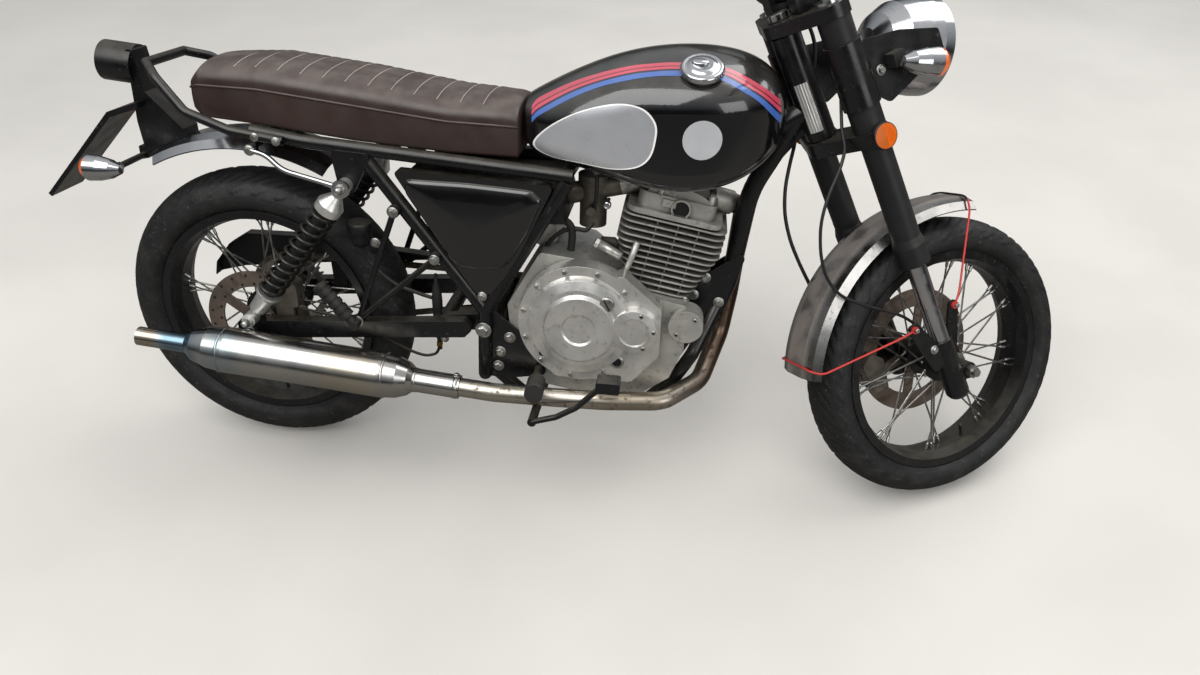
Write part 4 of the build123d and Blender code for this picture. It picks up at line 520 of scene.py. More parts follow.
NODE_FINISH = {
    "black_paint": ("main_frame", "swingarm", "fork_sliders", "headlight_brackets", "tail_lamp", "lower_yoke",
                    "side_stand", "peg_struts", "grab_rail", "handlebar", "rear_rim", "front_rim", "rear_hub",
                    "front_hub", "top_yoke", "foot_controls"),
    "matt_black": ("fork_covers", "chain_cover"),
    "tank": ("fuel_tank",),
    "panel_black": ("side_panels",),
    "chrome": ("rear_fender", "fork_tubes", "filler_cap", "headlight_shell", "front_signals", "rear_signals",
               "shock_stays"),
    "worn_chrome": ("front_fender",),
    "muffler": ("muffler",),
    "pipe": ("exhaust_pipe",),
    "steel": ("rear_spokes", "front_spokes", "front_axle", "rear_sprocket"),
    "chain": ("chain",),
    "disc": ("rear_brake_disc", "front_brake_disc"),
    "alloy": ("engine_cases", "left_covers", "cylinder", "cylinder_head"),
    "dull_alloy": ("carburettor", "rear_caliper", "front_caliper"),
    "bright_alloy": ("clutch_cover", "shock_bodies"),
    "plastic": ("airbox", "levers", "instrument"),
    "rubber": ("grips", "foot_pegs"),
    "spring": ("shock_springs",),
    "red_wire": ("red_wires",),
    "cable": ("cables",),
    "red_glass": ("rear_lenses",),
    "amber": ("amber_lenses",),
    "clear_glass": ("headlight_lens",),
    "seat": ("seat",),
    "tyre": ("rear_tyre", "front_tyre"),
}
for finish_name, members in NODE_FINISH.items():
    for member in members:
        NODES[member].data.materials.clear()
        NODES[member].data.materials.append(MATERIALS[finish_name])


# Tyres

TYRE_SECTION = (
    # share of the half width, share of the depth from the crown to the bead
    (0.0, 0.0), (0.20, 0.012), (0.38, 0.045), (0.55, 0.105), (0.72, 0.20), (0.86, 0.34), (0.955, 0.50),
    (0.99, 0.62), (0.985, 0.74), (0.93, 0.86), (0.82, 0.95), (0.74, 1.0),
)
TYRE_STEPS = 720
BEAD_RADIUS, LINING_RADIUS = 232.0, 222.0
GROOVE_DEPTH = 3.2
TYRES = (
    # end, frame, crown radius, half width, then pitch, slant, bend, width and reach of the grooves
    ("front", FRONT_WHEEL, 293.0, 55.0, 58.0, 0.9, 0.008, 5.2, ((5.0, 56.0), (16.0, 68.0))),
    ("rear", REAR_WHEEL, 307.0, 63.0, 52.0, 0.7, 0.009, 5.4, ((4.0, 58.0), (20.0, 76.0))),
)


def tyre_piece(end, place, radius, half, pitch, slant, bend, width, reach):
    """Tyre with a round crown and curved grooves cut into its tread."""
    depth = radius - BEAD_RADIUS
    right = spline([(half * a, radius - depth * b, 0.0) for a, b in TYRE_SECTION], 3)
    section = [(-p.x, p.y) for p in reversed(right[1:])] + [(p.x, p.y) for p in right]
    y = np.array([p[0] for p in section])
    r = np.array([p[1] for p in section])
    arc = np.concatenate([[0.0], np.cumsum(np.hypot(np.diff(y), np.diff(r)))])
    arc -= arc[len(arc) // 2]
    angle = 2 * pi * np.arange(TYRE_STEPS) / TYRE_STEPS
    pitch = 2 * pi * radius / round(2 * pi * radius / pitch)
    u = (angle * radius)[:, None]
    s = np.abs(arc)[None, :]
    shift = np.where(arc >= 0, 0.0, pitch / 2)[None, :]
    cut = np.zeros((TYRE_STEPS, len(arc)))
    for order, (first, last) in enumerate(reach):
        curve = slant * s + bend * s * s + order * pitch / len(reach)
        off = (u - curve - shift + pitch / 2) % pitch - pitch / 2
        steep = np.sqrt(1 + (slant + 2 * bend * s) ** 2)
        near = np.clip(1.6 - np.abs(off) / (0.5 * width * steep), 0.0, 1.0)
        inside = np.clip((s - first) / 2.0, 0, 1) * np.clip((last - s) / 3.0, 0, 1)
        cut = np.maximum(cut, near * inside)
    wall_ring = np.exp(-((s - (half + 0.30 * depth)) / 1.2) ** 2) * 0.5
    sunk = GROOVE_DEPTH * cut - wall_ring
    across = y - sunk * np.gradient(r, arc)
    out = np.minimum(r - sunk * np.abs(np.gradient(y, arc)), radius)
    points = np.stack([out * np.cos(angle)[:, None], across, out * np.sin(angle)[:, None]], axis=-1)
    shape = Shape()
    shape.add((points.reshape(-1, 3), grid_faces(TYRE_STEPS, len(arc), wrap_rows=True)))
    lining = [(y[0], r[0]), (y[0] + 2.0, LINING_RADIUS), (y[-1] - 2.0, LINING_RADIUS), (y[-1], r[-1])]
    turns = angle[::8]
    shape.add(([(low * cos(a), side, low * sin(a)) for a in turns for side, low in lining],
               grid_faces(len(turns), len(lining), wrap_rows=True)))
    piece = shape.make(end + "_tyre_tread", place, end + "_wheel", ["tyre"], "tyre_rubber")
    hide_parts(end + "_tyre")


for tyre in TYRES:
    tyre_piece(*tyre)


# Wheels' small parts

SPOKES = 18
SPOKE_LEAN = radians(32.0)
NIPPLE_RADIUS, NIPPLE_Y = 204.0, 9.0
HEAD_RISE, HEAD_STAGGER = 1.6, 3.0
NIPPLE = ((0.0, 15.0), (2.6, 15.0), (3.2, 12.0), (3.2, 0.0))
SPOKE_HEAD = ((0.0, 3.0), (3.4, 2.0), (3.6, 0.0), (2.6, -2.0))
VALVE = ((0.0, 34.0), (3.4, 34.0), (3.4, 24.0), (2.8, 24.0), (2.8, 6.0), (5.0, 0.0))
DISC_BOLT_RING, DISC_FACE = 29.0, 2.0
# Middle of a disc's two rows of holes inside its edge, and each row's distance from it
HOLES_INSIDE, HOLE_ROWS = 18.0, (-9.0, 9.0)
WHEELS = (
    # end, frame, place and radius of the hub's flanges
    ("front", FRONT_WHEEL, 27.0, 44.0), ("rear", REAR_WHEEL, 30.0, 52.0),
)
DISCS = (
    # end, frame, place, side, arms, radius and holes in each row
    ("front", FRONT_WHEEL, 60.0, 1, 6, 135.0, 24), ("rear", REAR_WHEEL, -80.0, -1, 5, 112.0, 20),
)


def on_wheel(radius, angle, y):
    """Point at a radius and an angle round the axle."""
    return Vector((radius * cos(angle), y, radius * sin(angle)))


def wheel_trim(end, place, flange_y, flange_radius):
    """Spoke nipples, heads at the flanges and a valve."""
    shape = Shape()
    for side in (-1, 1):
        for index in range(SPOKES):
            turn = 1 if index % 2 else -1
            start = 2 * pi * (index + 0.25 * side) / SPOKES
            inner = on_wheel(flange_radius + HEAD_RISE, start, side * (flange_y + turn * HEAD_STAGGER))
            outer = on_wheel(NIPPLE_RADIUS, start + turn * SPOKE_LEAN, side * NIPPLE_Y)
            way = (inner - outer).normalized()
            shape.add(lathe(NIPPLE, 8), 0, True, aim(outer, way))
            shape.add(lathe(SPOKE_HEAD, 8), 0, True, aim(inner - way, (0, side, 0)))
    shape.add(lathe(VALVE, 10), 1, True, aim((0.0, -8.0, -206.0), (0.0, -0.25, 1.0)))
    shape.make(end + "_wheel_nipples", place, end + "_wheel", ["bolt", "rubber"], "steel")


def disc_trim(end, place, y, side, arms, radius, holes):
    """Bolts of a brake disc, and flat dark discs on its drilled ring that paint the shade of the holes."""
    shape = Shape()
    face = y + side * DISC_FACE
    for index in range(arms):
        bolt = on_wheel(DISC_BOLT_RING, 2 * pi * (index + 0.5) / arms, face)
        hex_bolt(shape, bolt, (0, side, 0), 5.0, washer=False)
    # Each hole is a flat dark disc on the face: painted shade in place of an opening.
    for index in range(holes):
        for row, reach in enumerate(HOLE_ROWS):
            angle = 2 * pi * index / holes + row * pi / holes
            hole = on_wheel(radius - HOLES_INSIDE + reach, angle, face)
            shape.add(lathe(((0.0, 0.15), (3.2, 0.15)), 10), 1, False, aim(hole, (0, side, 0)))
    shape.make(end + "_disc_bolts", place, end + "_wheel", ["bolt", "dark"], "steel")


for wheel in WHEELS:
    wheel_trim(*wheel)
for disc in DISCS:
    disc_trim(*disc)


# Seat

SEAT_ROWS = (
    # bike x, bottom, top, half width
    (-66.0, 750.0, 812.0, 78.0), (-38.0, 738.0, 833.0, 97.0), (80.0, 732.0, 838.0, 108.0),
    (256.0, 714.0, 820.0, 110.0), (430.0, 702.0, 795.0, 106.0), (558.0, 696.0, 789.0, 92.0),
)
SEAM_FIRST, SEAM_LAST, SEAMS = 30.0, 492.0, 12
SEAM_PITCH = (SEAM_LAST - SEAM_FIRST) / (SEAMS - 1)
SEAT_BACK, SEAT_FRONT = SEAT_ROWS[0][0], SEAT_ROWS[-1][0]
BACK_ROUND, FRONT_ROUND = 60.0, 26.0
SEAT_COLUMNS = 72
SIDE_ROWS = SEAT_COLUMNS // 6
TOP_ROWS = SEAT_COLUMNS - 2 * SIDE_ROWS
HEM_SHARE = 0.60
RIBBED_SHARE = 0.80
RIB_DEPTH, RIB_REACH, RIB_SWELL, SIDE_SWELL = 2.6, 2.8, 0.8, 1.5
# Between these places the cushion's rows are a fine step apart
FINE_START, FINE_END, FINE_STEP = -30.0, 530.0, 2.6
PIPING_RADIUS = 2.4
STITCH, STITCH_PITCH = 4.4, 5.2


def rounded(share):
    """Height of a quarter circle at a share of its width."""
    return sqrt(max(0.0, 1 - (1 - min(1.0, share)) ** 2))


def seat_shape(x):
    """Bottom, height of the piping, top and half width of the seat at one place along it."""
    xs = [row[0] for row in SEAT_ROWS]
    bottom, top, half = [float(np.interp(x, xs, [row[k] for row in SEAT_ROWS])) for k in (1, 2, 3)]
    back, front = rounded((x - SEAT_BACK) / BACK_ROUND), rounded((SEAT_FRONT - x) / FRONT_ROUND)
    half *= 0.90 + 0.10 * back
    round_off = (0.62 + 0.38 * back) * (0.80 + 0.20 * front)
    hem = bottom + HEM_SHARE * (top - bottom) * (0.86 + 0.14 * round_off)
    return bottom, hem, hem + (top + 3.0 - hem) * round_off, half


def seat_section(x):
    """Points across the seat at one place along it, from the right hem over the top to the left."""
    bottom, hem, top, half = seat_shape(x)
    phase = (x - SEAM_FIRST) / SEAM_PITCH
    rib = 0.0
    if -0.6 < phase < SEAMS - 0.4:
        from_seam = abs(phase - round(phase)) * SEAM_PITCH
        rib = -RIB_DEPTH * exp(-(from_seam / RIB_REACH) ** 2)
        rib += RIB_SWELL * sin(pi * min(1.0, from_seam / SEAM_PITCH * 2))
    shares = [k / SIDE_ROWS for k in range(SIDE_ROWS)]
    side = [(half + SIDE_SWELL * sin(pi * share), bottom + (hem - bottom) * share) for share in shares]
    points = [(x, -y, z) for y, z in side]
    for k in range(TOP_ROWS + 1):
        a = pi * (1 - k / TOP_ROWS)
        y = half * copysign(abs(cos(a)) ** 0.85, cos(a))
        z = hem + (top - hem) * abs(sin(a)) ** 0.62
        inside = max(0.0, min(1.0, (RIBBED_SHARE - abs(y) / half) / 0.08))
        points.append((x, y, z + rib * inside))
    return points + [(x, y, z) for y, z in reversed(side)]


def seat_piece():
    """Cushion with ribs across it, closed below and at both ends."""
    xs = np.concatenate([np.linspace(SEAT_BACK, FINE_START, 16)[:-1],
                         np.arange(FINE_START, FINE_END, FINE_STEP), np.linspace(FINE_END, SEAT_FRONT, 12)])
    points = [p for x in xs for p in seat_section(float(x))]
    rows = len(xs)
    columns = len(points) // rows
    edge = [row * columns + end for row in range(rows) for end in (0, columns - 1)]
    faces = turned(grid_faces(rows, columns))
    faces += [tuple(edge[c] for c in face) for face in grid_faces(rows, 2)]
    faces.append(tuple(range(columns)))
    faces.append(tuple(reversed(range((rows - 1) * columns, rows * columns))))
    shape = Shape()
    shape.add((points, faces))
    piece = shape.make("seat_cushion", BIKE, "frame", ["seat"], "seat_cover")
    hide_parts("seat")


def seat_trim():
    """Piping round the top's edge and light stitches along the seams."""
    shape = Shape()
    right, left = [], []
    for x in np.linspace(-66.5, 556.0, 100):
        _, hem, _, half = seat_shape(float(max(SEAT_BACK, min(x, SEAT_FRONT))))
        right.append((x, -half - 0.4, hem))
        left.append((x, half + 0.4, hem))
    shape.add(tube(right + list(reversed(left)), PIPING_RADIUS, 8, closed=True), 0)
    for seam in range(SEAMS):
        x = SEAM_FIRST + seam * SEAM_PITCH
        _, hem, _, half = seat_shape(x)
        line = [p for p in seat_section(x) if abs(p[1]) < RIBBED_SHARE * half and p[2] > hem + 4.0]
        path = spline([(x, p[1], p[2] + 0.8) for p in line], 4)
        lengths = np.concatenate([[0], np.cumsum([(b - a).length for a, b in zip(path, path[1:])])])
        for start in np.arange(1.0, lengths[-1] - 6.0, STITCH_PITCH):
            ends = []
            for at in (start, start + STITCH):
                k = int(np.searchsorted(lengths, at)) - 1
                share = (at - lengths[k]) / max(1e-6, lengths[k + 1] - lengths[k])
                ends.append(path[k].lerp(path[k + 1], float(share)))
            shape.add(tube(ends, 1.0, 5), 1)
    shape.make("seat_piping", BIKE, "frame", ["seat", "thread"], "seat_cover")


seat_piece()
seat_trim()


# Paint on the tank

TANK = NODES["fuel_tank"]
TANK_TREE = BVHTree.FromPolygons([v.co.copy() for v in TANK.data.vertices],
                                 [tuple(p.vertices) for p in TANK.data.polygons])
RED_TOP = ((580.0, 787.0), (593.0, 800.5), (648.0, 829.5), (702.0, 851.0), (755.0, 866.5), (798.0, 874.0),
           (832.5, 877.8), (880.0, 878.5), (922.0, 874.2), (953.5, 863.6), (989.7, 845.1), (1019.3, 823.8))
RED_LOW = ((582.0, 772.0), (597.7, 787.4), (651.8, 819.1), (704.7, 841.7), (756.7, 857.7), (799.6, 865.6),
           (833.7, 869.3), (878.0, 870.0), (917.4, 865.5), (954.2, 850.7), (990.8, 829.3), (1026.2, 797.8))
BLUE_LOW = ((583.0, 761.0), (599.3, 777.2), (654.2, 810.5), (706.5, 834.3), (758.3, 849.6), (800.8, 858.1),
            (834.8, 861.2), (876.0, 862.5), (911.1, 859.3), (946.0, 845.5), (982.5, 824.1), (1024.5, 782.6))
KNEE = ((584.9, 721.6), (610.4, 755.7), (657.2, 787.0), (710.3, 807.6), (753.8, 815.1), (788.8, 808.6),
        (809.1, 786.6), (810.8, 759.2), (802.3, 726.8), (778.7, 706.7), (732.1, 698.8), (676.2, 701.5),
        (618.4, 704.8))
ROUNDEL = (890.0, 763.0, 34.0)
LAYER, PATCH_LAYER, ROUNDEL_LAYER = 0.35, 0.5, 0.45


def on_tank(x, z, side, lift=LAYER):
    """Point just outside the tank's side at a place in side view."""
    start = BIKE @ Vector((x, side * 260.0, z))
    way = (BIKE.to_3x3() @ Vector((0.0, -side, 0.0))).normalized()
    place, normal, _, _ = TANK_TREE.ray_cast(start, way, 0.4)
    if place is None:
        place, normal, _, _ = TANK_TREE.find_nearest(BIKE @ Vector((x, side * 60.0, z)))
    if normal.dot(way) > 0:
        normal = -normal
    return BIKE.inverted() @ (place + normal * lift * MM)


def band(upper, lower, share_low, share_high, side):
    """Strip between two shares of the way from one line to another."""
    top = spline([(*p, 0.0) for p in upper], 10)
    low = spline([(*p, 0.0) for p in lower], 10)
    points = []
    for a, b in zip(top, low):
        for share in np.linspace(share_low, share_high, 4):
            points.append(on_tank(float(a.x + (b.x - a.x) * share), float(a.y + (b.y - a.y) * share), side))
    return points, turned(grid_faces(len(top), 4), side > 0)


def patch(outline, low, high, lift, rings, side):
    """Patch from one share of a closed outline to another, laid on the tank's side."""
    curve = spline([(*p, 0.0) for p in outline], 7, closed=True)
    middle = sum(curve, Vector()) / len(curve)
    points = []
    for ring in range(rings + 1):
        share = low + (high - low) * ring / rings
        for p in curve:
            q = middle + (p - middle) * share
            points.append(on_tank(q.x, q.y, side, lift))
    return points, turned(grid_faces(rings + 1, len(curve), wrap_columns=True), side < 0)


def circle(x, z, radius):
    angles = np.arange(0, 2 * pi, pi / 8)
    return [(x + radius * cos(a), z + radius * sin(a)) for a in angles]


TANK_FINISHES = ["red", "dark_red", "navy", "blue", "white", "knee", "roundel"]
TANK_BANDS = (
    # upper and lower line, shares of the way between them, finish
    (RED_TOP, RED_LOW, 0.0, 0.42, "red"), (RED_TOP, RED_LOW, 0.42, 0.58, "dark_red"),
    (RED_TOP, RED_LOW, 0.58, 0.92, "red"), (RED_LOW, BLUE_LOW, -0.06, 0.2, "navy"),
    (RED_LOW, BLUE_LOW, 0.2, 1.0, "blue"),
)
TANK_PATCHES = (
    # outline, shares of it, lift, rings, finish
    (KNEE, 0.0, 0.965, PATCH_LAYER, 14, "knee"), (KNEE, 0.965, 1.0, PATCH_LAYER, 2, "white"),
    (circle(*ROUNDEL), 0.0, 1.0, ROUNDEL_LAYER, 8, "roundel"),
)


def tank_paint():
    """Stripes, knee panels and discs on both sides of the tank."""
    for side, label in ((-1, "right"), (1, "left")):
        shape = Shape()
        for make, rows in ((band, TANK_BANDS), (patch, TANK_PATCHES)):
            for *values, finish in rows:
                shape.add(make(*values, side), TANK_FINISHES.index(finish))
        shape.make("tank_paint_" + label, BIKE, "frame", TANK_FINISHES, "tank_paint")


tank_paint()


# Filler cap

def cap_frame():
    """Place of the cap's face: its axis and its own box give it."""
    axis = Vector(JOINTS["filler_cap_lift"]["axis"]).normalized()
    low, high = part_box("filler_cap")
    middle = (low + high) / 2
    corners = [v.co for v in NODES["filler_cap"].data.vertices]
    top = max((c - middle).dot(axis) for c in corners)
    across = Vector((0, 0, 0))
    for c in corners:
        across += (c - middle) - axis * (c - middle).dot(axis)
    middle += across / len(corners)
    side = Vector(JOINTS["rear_wheel_spin"]["axis"])
    return frame_matrix(side - axis * side.dot(axis), axis, middle + axis * top)


CAP_PROFILE = ((0.0, -1.0), (14.0, -0.4), (16.0, 0.0), (23.0, 0.0), (25.0, -2.5), (31.0, -3.5), (33.5, -2.6),
               (37.0, -5.0), (38.0, -9.0), (38.0, -12.7))
KNURLS = 36


def filler_piece():
    """Chrome cap with a knurled rim, a raised middle and a hinged keyhole flap."""
    shape = Shape()
    shape.add(lathe(CAP_PROFILE, 72))
    for index in range(KNURLS):
        turn = Matrix.Rotation(2 * pi * index / KNURLS, 4, "Z")
        shape.add(block((1.6, 2.6, 5.5), (37.4, 0.0, -9.0)), 0, False, turn)
    points, faces = lathe(((0.0, 3.6), (7.4, 3.4), (8.4, 2.6), (8.6, 0.0)), 32)
    shape.add(([(1.75 * x - 4.0, y + 4.0, z) for x, y, z in points], faces))
    piece = shape.make("filler_cap_face", cap_frame(), "filler_cap", ["chrome", "bolt"], "chrome")
    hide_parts("filler_cap")


filler_piece()


# Shock springs

SHOCK_FOOT, SHOCK_HEAD = (11.0, 136.0, 340.0), (237.0, 136.0, 633.0)
COIL_LOW, COIL_HEAD_ROOM = 81.0, 64.0
COIL_TURNS, COIL_STEPS = 11, 24
COIL_RADIUS, WIRE_RADIUS, DAMPER_RADIUS = 21.5, 3.9, 14.5


def shock_coils():
    """Open coils round each damper, from the lower cup to the upper one."""
    shape = Shape()
    for side in (-1, 1):
        foot, head = [Vector((x, side * y, z)) for x, y, z in (SHOCK_FOOT, SHOCK_HEAD)]
        place = aim(foot, head - foot)
        high = (head - foot).length - COIL_HEAD_ROOM
        helix = []
        for k in range(COIL_TURNS * COIL_STEPS + 1):
            share = k / (COIL_TURNS * COIL_STEPS)
            turn = 2 * pi * COIL_TURNS * share
            helix.append((COIL_RADIUS * cos(turn), COIL_RADIUS * sin(turn),
                          COIL_LOW + (high - COIL_LOW) * share))
        shape.add(tube(helix, WIRE_RADIUS, 8), 0, True, place)
        shape.add(lathe(((DAMPER_RADIUS, COIL_LOW - 3.0), (DAMPER_RADIUS, high + 3.0)), 24), 1, True, place)
    piece = shape.make("shock_coils", BIKE, "frame", ["spring", "dark"], "black_paint")
    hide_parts("shock_springs")


shock_coils()


# Bolts, nuts and other small parts on the frame and engine

COVER_CENTRE, COVER_RING = (686.0, -139.8, 387.0), 113.0
COVER_ANGLES = (42, 74, 106, 138, 168, 198, 228, 262, 296)
COVER_SCREWS = (
    # centre and radius of the ring, angles, side they face and radius of the screws
    ((792.0, -161.0, 390.0), 38.0, (70, 5, -60), -1, 4.2),
    ((690.0, 112.0, 380.0), 83.0, (30, 90, 150, 210, 270, 330), 1, 5.0),
    ((890.0, -117.8, 388.0), 24.0, (45, 225), -1, 4.0),
)
SIDE_BOLTS = (
    # bike x, y, z and radius of hexagon heads that face the right
    (540.0, -106.8, 329.0, 8.0), (520.0, -106.8, 295.0, 8.0), (515.0, -106.8, 262.0, 8.0),
    (922.0, -22.3, 455.0, 7.5), (953.0, -22.3, 403.0, 7.5), (901.0, -22.3, 416.0, 7.5),
    (490.0, -124.5, 350.0, 11.0), (0.0, -129.5, 307.0, 8.0),
    (237.0, -137.8, 354.0, 8.0), (328.0, -137.8, 590.0, 7.0), (402.0, -137.8, 500.0, 7.0),
)
SHOCK_NUT_Y = 154.8
PEG_BOLTS = ((120.0, 141.0, 711.72, 5.5), (80.0, 141.0, 717.24, 5.5), (60.0, 129.0, 689.0, 6.0))


def frame_bolts():
    """Hexagons and dome nuts on the frame, on both sides."""
    shape = Shape()
    for x, y, z, radius in SIDE_BOLTS:
        hex_bolt(shape, (x, y, z), (0, -1, 0), radius)
        hex_bolt(shape, (x, -y, z), (0, 1, 0), radius)
    for side in (-1, 1):
        for x, _, z in (SHOCK_FOOT, SHOCK_HEAD):
            dome_nut(shape, (x, side * SHOCK_NUT_Y, z), (0, side, 0), 9.0)
        for x, y, z, radius in PEG_BOLTS:
            hex_bolt(shape, (x, side * y, z), (0, side, 0), radius)
    shape.make("frame_bolts", BIKE, "frame", ["bolt"], "steel")


# Frame of the barrel, Z up along the cylinder
BARREL = Matrix.Translation((822.0, 0.0, 425.0)) @ Matrix.Rotation(radians(10.0), 4, "Y")
BARREL_UP = BARREL.to_3x3() @ Vector((0, 0, 1))
FIN_GAPS, FIN_LOW, FIN_PITCH, FIN_THICK = 11, 14.0, 13.3, 3.2
# In the barrel's frame: ribs between the fins, studs of the head, round plate on its right
FIN_RIBS, FIN_RIB = (-34.0, 6.0, 46.0), (2.6, 9.0, 10.4)
STUDS = ((-52.0, -56.0), (-36.0, -60.0), (60.0, -56.0), (-52.0, 56.0), (60.0, 56.0))
STUD_LOW, STUD_HIGH = 206.0, 224.0
PLATE_SCREWS, PLATE_MIDDLE, PLATE_WIDE, PLATE_TALL = (35, 145, 215, 325), (8.0, -64.5, 190.0), 26.0, 17.0
# In the bike's frame: slotted cap, drain plug and level glass, oil pipe and tensioner
CAP_AT, PLUG_AT, LEVEL_AT = (738.0, -157.5, 443.0), (761.0, -139.8, 312.0), (612.0, -139.7, 318.0)
OIL_PIPE = ((786.0, -92.0, 548.0), (775.0, -94.0, 512.0), (757.0, -96.0, 462.0))
TENSIONER = ((712.0, -78.0, 533.0), (756.0, -88.0, 514.0))


def engine_bolts():
    """Bolts and screws of the engine's covers, the slotted cap, the drain plug and the level glass."""
    shape = Shape()
    for point in around(COVER_CENTRE, COVER_RING, COVER_ANGLES):
        hex_bolt(shape, point, (0, -1, 0), 5.5, washer=False)
    for centre, ring, angles, side, radius in COVER_SCREWS:
        for point in around(centre, ring, angles):
            socket_screw(shape, point, (0, side, 0), radius)
    cap = aim(CAP_AT, (0, -1, 0), 0.5)
    shape.add(lathe(((0.0, 4.0), (12.5, 4.0), (14.5, 3.0), (15.0, 0.0)), 28), 0, True, cap)
    # The cap's slot is a dark bar on its face: painted shade.
    shape.add(block((3.0, 24.0, 1.0), (0.0, 0.0, 4.2)), 1, False, cap)
    plug = aim(PLUG_AT, (0, -1, 0))
    shape.add(lathe(((9.0, 4.0), (13.0, 4.0), (14.0, 2.0), (14.0, 0.0)), 24), 0, True, plug)
    # The plug's hexagon socket is coloured dark: painted shade in the recess.
    shape.add(lathe(((0.0, 1.0), (9.0, 1.0), (9.0, 4.0)), 6), 1, False, plug)
    level = aim(LEVEL_AT, (0, -1, 0))
    shape.add(lathe(((0.0, 1.0), (7.0, 1.0)), 20), 1, False, level)
    shape.make("engine_screws", BIKE, "frame", ["bolt", "dark"], "steel")


def barrel_details():
    """Ribs between the fins, studs and caps of the head, the cam chain's tensioner and the oil pipe."""
    shape = Shape()
    for gap in range(FIN_GAPS):
        low = FIN_LOW + FIN_PITCH * gap + FIN_THICK
        out = 61.0 + 7.0 * min(1.0, gap / 7.0)
        for x in FIN_RIBS:
            shape.add(block(FIN_RIB, (x + 0.6 * gap, -out, low + 5.0)), 0, False, BARREL)
    for x, y in STUDS:
        stud = BARREL @ Matrix.Translation((x, y, STUD_LOW))
        shape.add(lathe(((6.0, 20.0), (7.5, 19.0), (7.5, 0.0)), 16), 0, True, stud)
        hex_bolt(shape, BARREL @ Vector((x, y, STUD_HIGH)), BARREL_UP, 6.0, 1, washer=False)
    shape.add(block((26.0, 16.0, 14.0), (-16.0, -66.0, 196.0)), 0, False, BARREL)
    for angle in PLATE_SCREWS:
        turn = radians(angle)
        x, y, z = PLATE_MIDDLE
        point = BARREL @ Vector((x + PLATE_WIDE * cos(turn), y, z + PLATE_TALL * sin(turn)))
        socket_screw(shape, point, (0, -1, 0), 4.0, 1, 2)
    # A flat dark disc in the round plate paints the shade of its hole.
    hole = aim(BARREL @ Vector((8.0, -70.6, 190.3)), (0, -1, 0))
    shape.add(lathe(((0.0, 0.4), (15.6, 0.4)), 32), 2, False, hole)
    shape.add(tube(OIL_PIPE, 6.0, 14), 0)
    shape.add(tube(TENSIONER, 9.0, 16), 0)
    hex_bolt(shape, TENSIONER[0], (-0.9, 0.2, 0.4), 10.0, 1, washer=False)
    for x in (-58.0, 62.0):
        hex_bolt(shape, BARREL @ Vector((x, -66.0, 10.0)), BARREL_UP, 6.0, 1)
    shape.make("barrel_details", BIKE, "frame", ["alloy", "bolt", "dark"], "alloy")


HOSES = (
    # radius, then the points of each smooth run beside the carburettor
    (7.5, [(610.0, -62.0, 580.0), (632.0, -62.0, 574.0), (652.0, -62.0, 562.0), (657.0, -62.0, 540.0),
           (654.0, -60.0, 505.0)]),
    (4.5, [(606.0, -60.0, 512.0), (620.0, -60.0, 532.0), (640.0, -60.0, 548.0), (666.0, -60.0, 553.0),
           (684.0, -58.0, 552.0), (696.0, -50.0, 566.0)]),
    (4.0, [(700.0, -52.0, 668.0), (702.0, -60.0, 640.0), (700.0, -56.0, 612.0), (694.0, -40.0, 596.0)]),
)
BRAKE_LINES = (
    # radius, then the points from the reservoir to the cylinder and from there to the caliper
    (4.0, [(242.0, -90.0, 498.0), (256.0, -88.0, 462.0), (300.0, -86.0, 420.0), (352.0, -84.0, 400.0),
           (377.0, -82.0, 392.0)]),
    (3.0, [(386.0, -82.0, 280.0), (372.0, -84.0, 262.0), (330.0, -90.0, 268.0), (200.0, -92.0, 330.0),
           (90.0, -94.0, 352.0)]),
)
RESERVOIR = ((0.0, 549.0), (22.0, 549.0), (24.5, 547.0), (24.5, 530.0), (22.0, 528.0), (21.0, 512.0),
             (15.0, 500.0), (0.0, 497.0))
RESERVOIR_AT, RESERVOIR_RIBS = (242.0, -90.0, 0.0), 24
MASTER_CYLINDER = ((3.0, 446.0), (4.5, 430.0), (9.0, 412.0), (10.5, 392.0), (10.5, 366.0), (8.0, 362.0),
                   (10.0, 357.0), (10.0, 340.0), (7.0, 336.0), (7.0, 304.0), (5.0, 300.0), (5.0, 276.0),
                   (0.0, 276.0))
MASTER_AT = (386.0, -82.0, 0.0)
CHOKE_AT = (722.0, -50.0, 604.0)


def hoses():
    """Fuel and breather hoses, the choke knob and the fuel tap beside the carburettor."""
    shape = Shape()
    for radius, points in HOSES:
        shape.add(tube(spline(points), radius, 12), 0)
    shape.add(tube([(700.0, -52.0, 664.0), (700.0, -52.0, 680.0)], 9.0, 14), 1)
    knob = aim(CHOKE_AT, (0, -1, 0))
    shape.add(lathe(((0.0, 9.0), (6.0, 9.0), (8.0, 7.0), (8.0, 0.0)), 20), 2, True, knob)
    shape.add(tube([(722.0, -20.0, 604.0), (722.0, -52.0, 604.0)], 3.5, 10), 1)
    shape.add(tube([(712.0, -30.0, 520.0), (735.0, -34.0, 522.0), (752.0, -40.0, 510.0)], 10.0, 14), 0)
    shape.make("carburettor_hoses", BIKE, "frame", ["rubber", "dull_alloy", "chrome"], "cable_black")


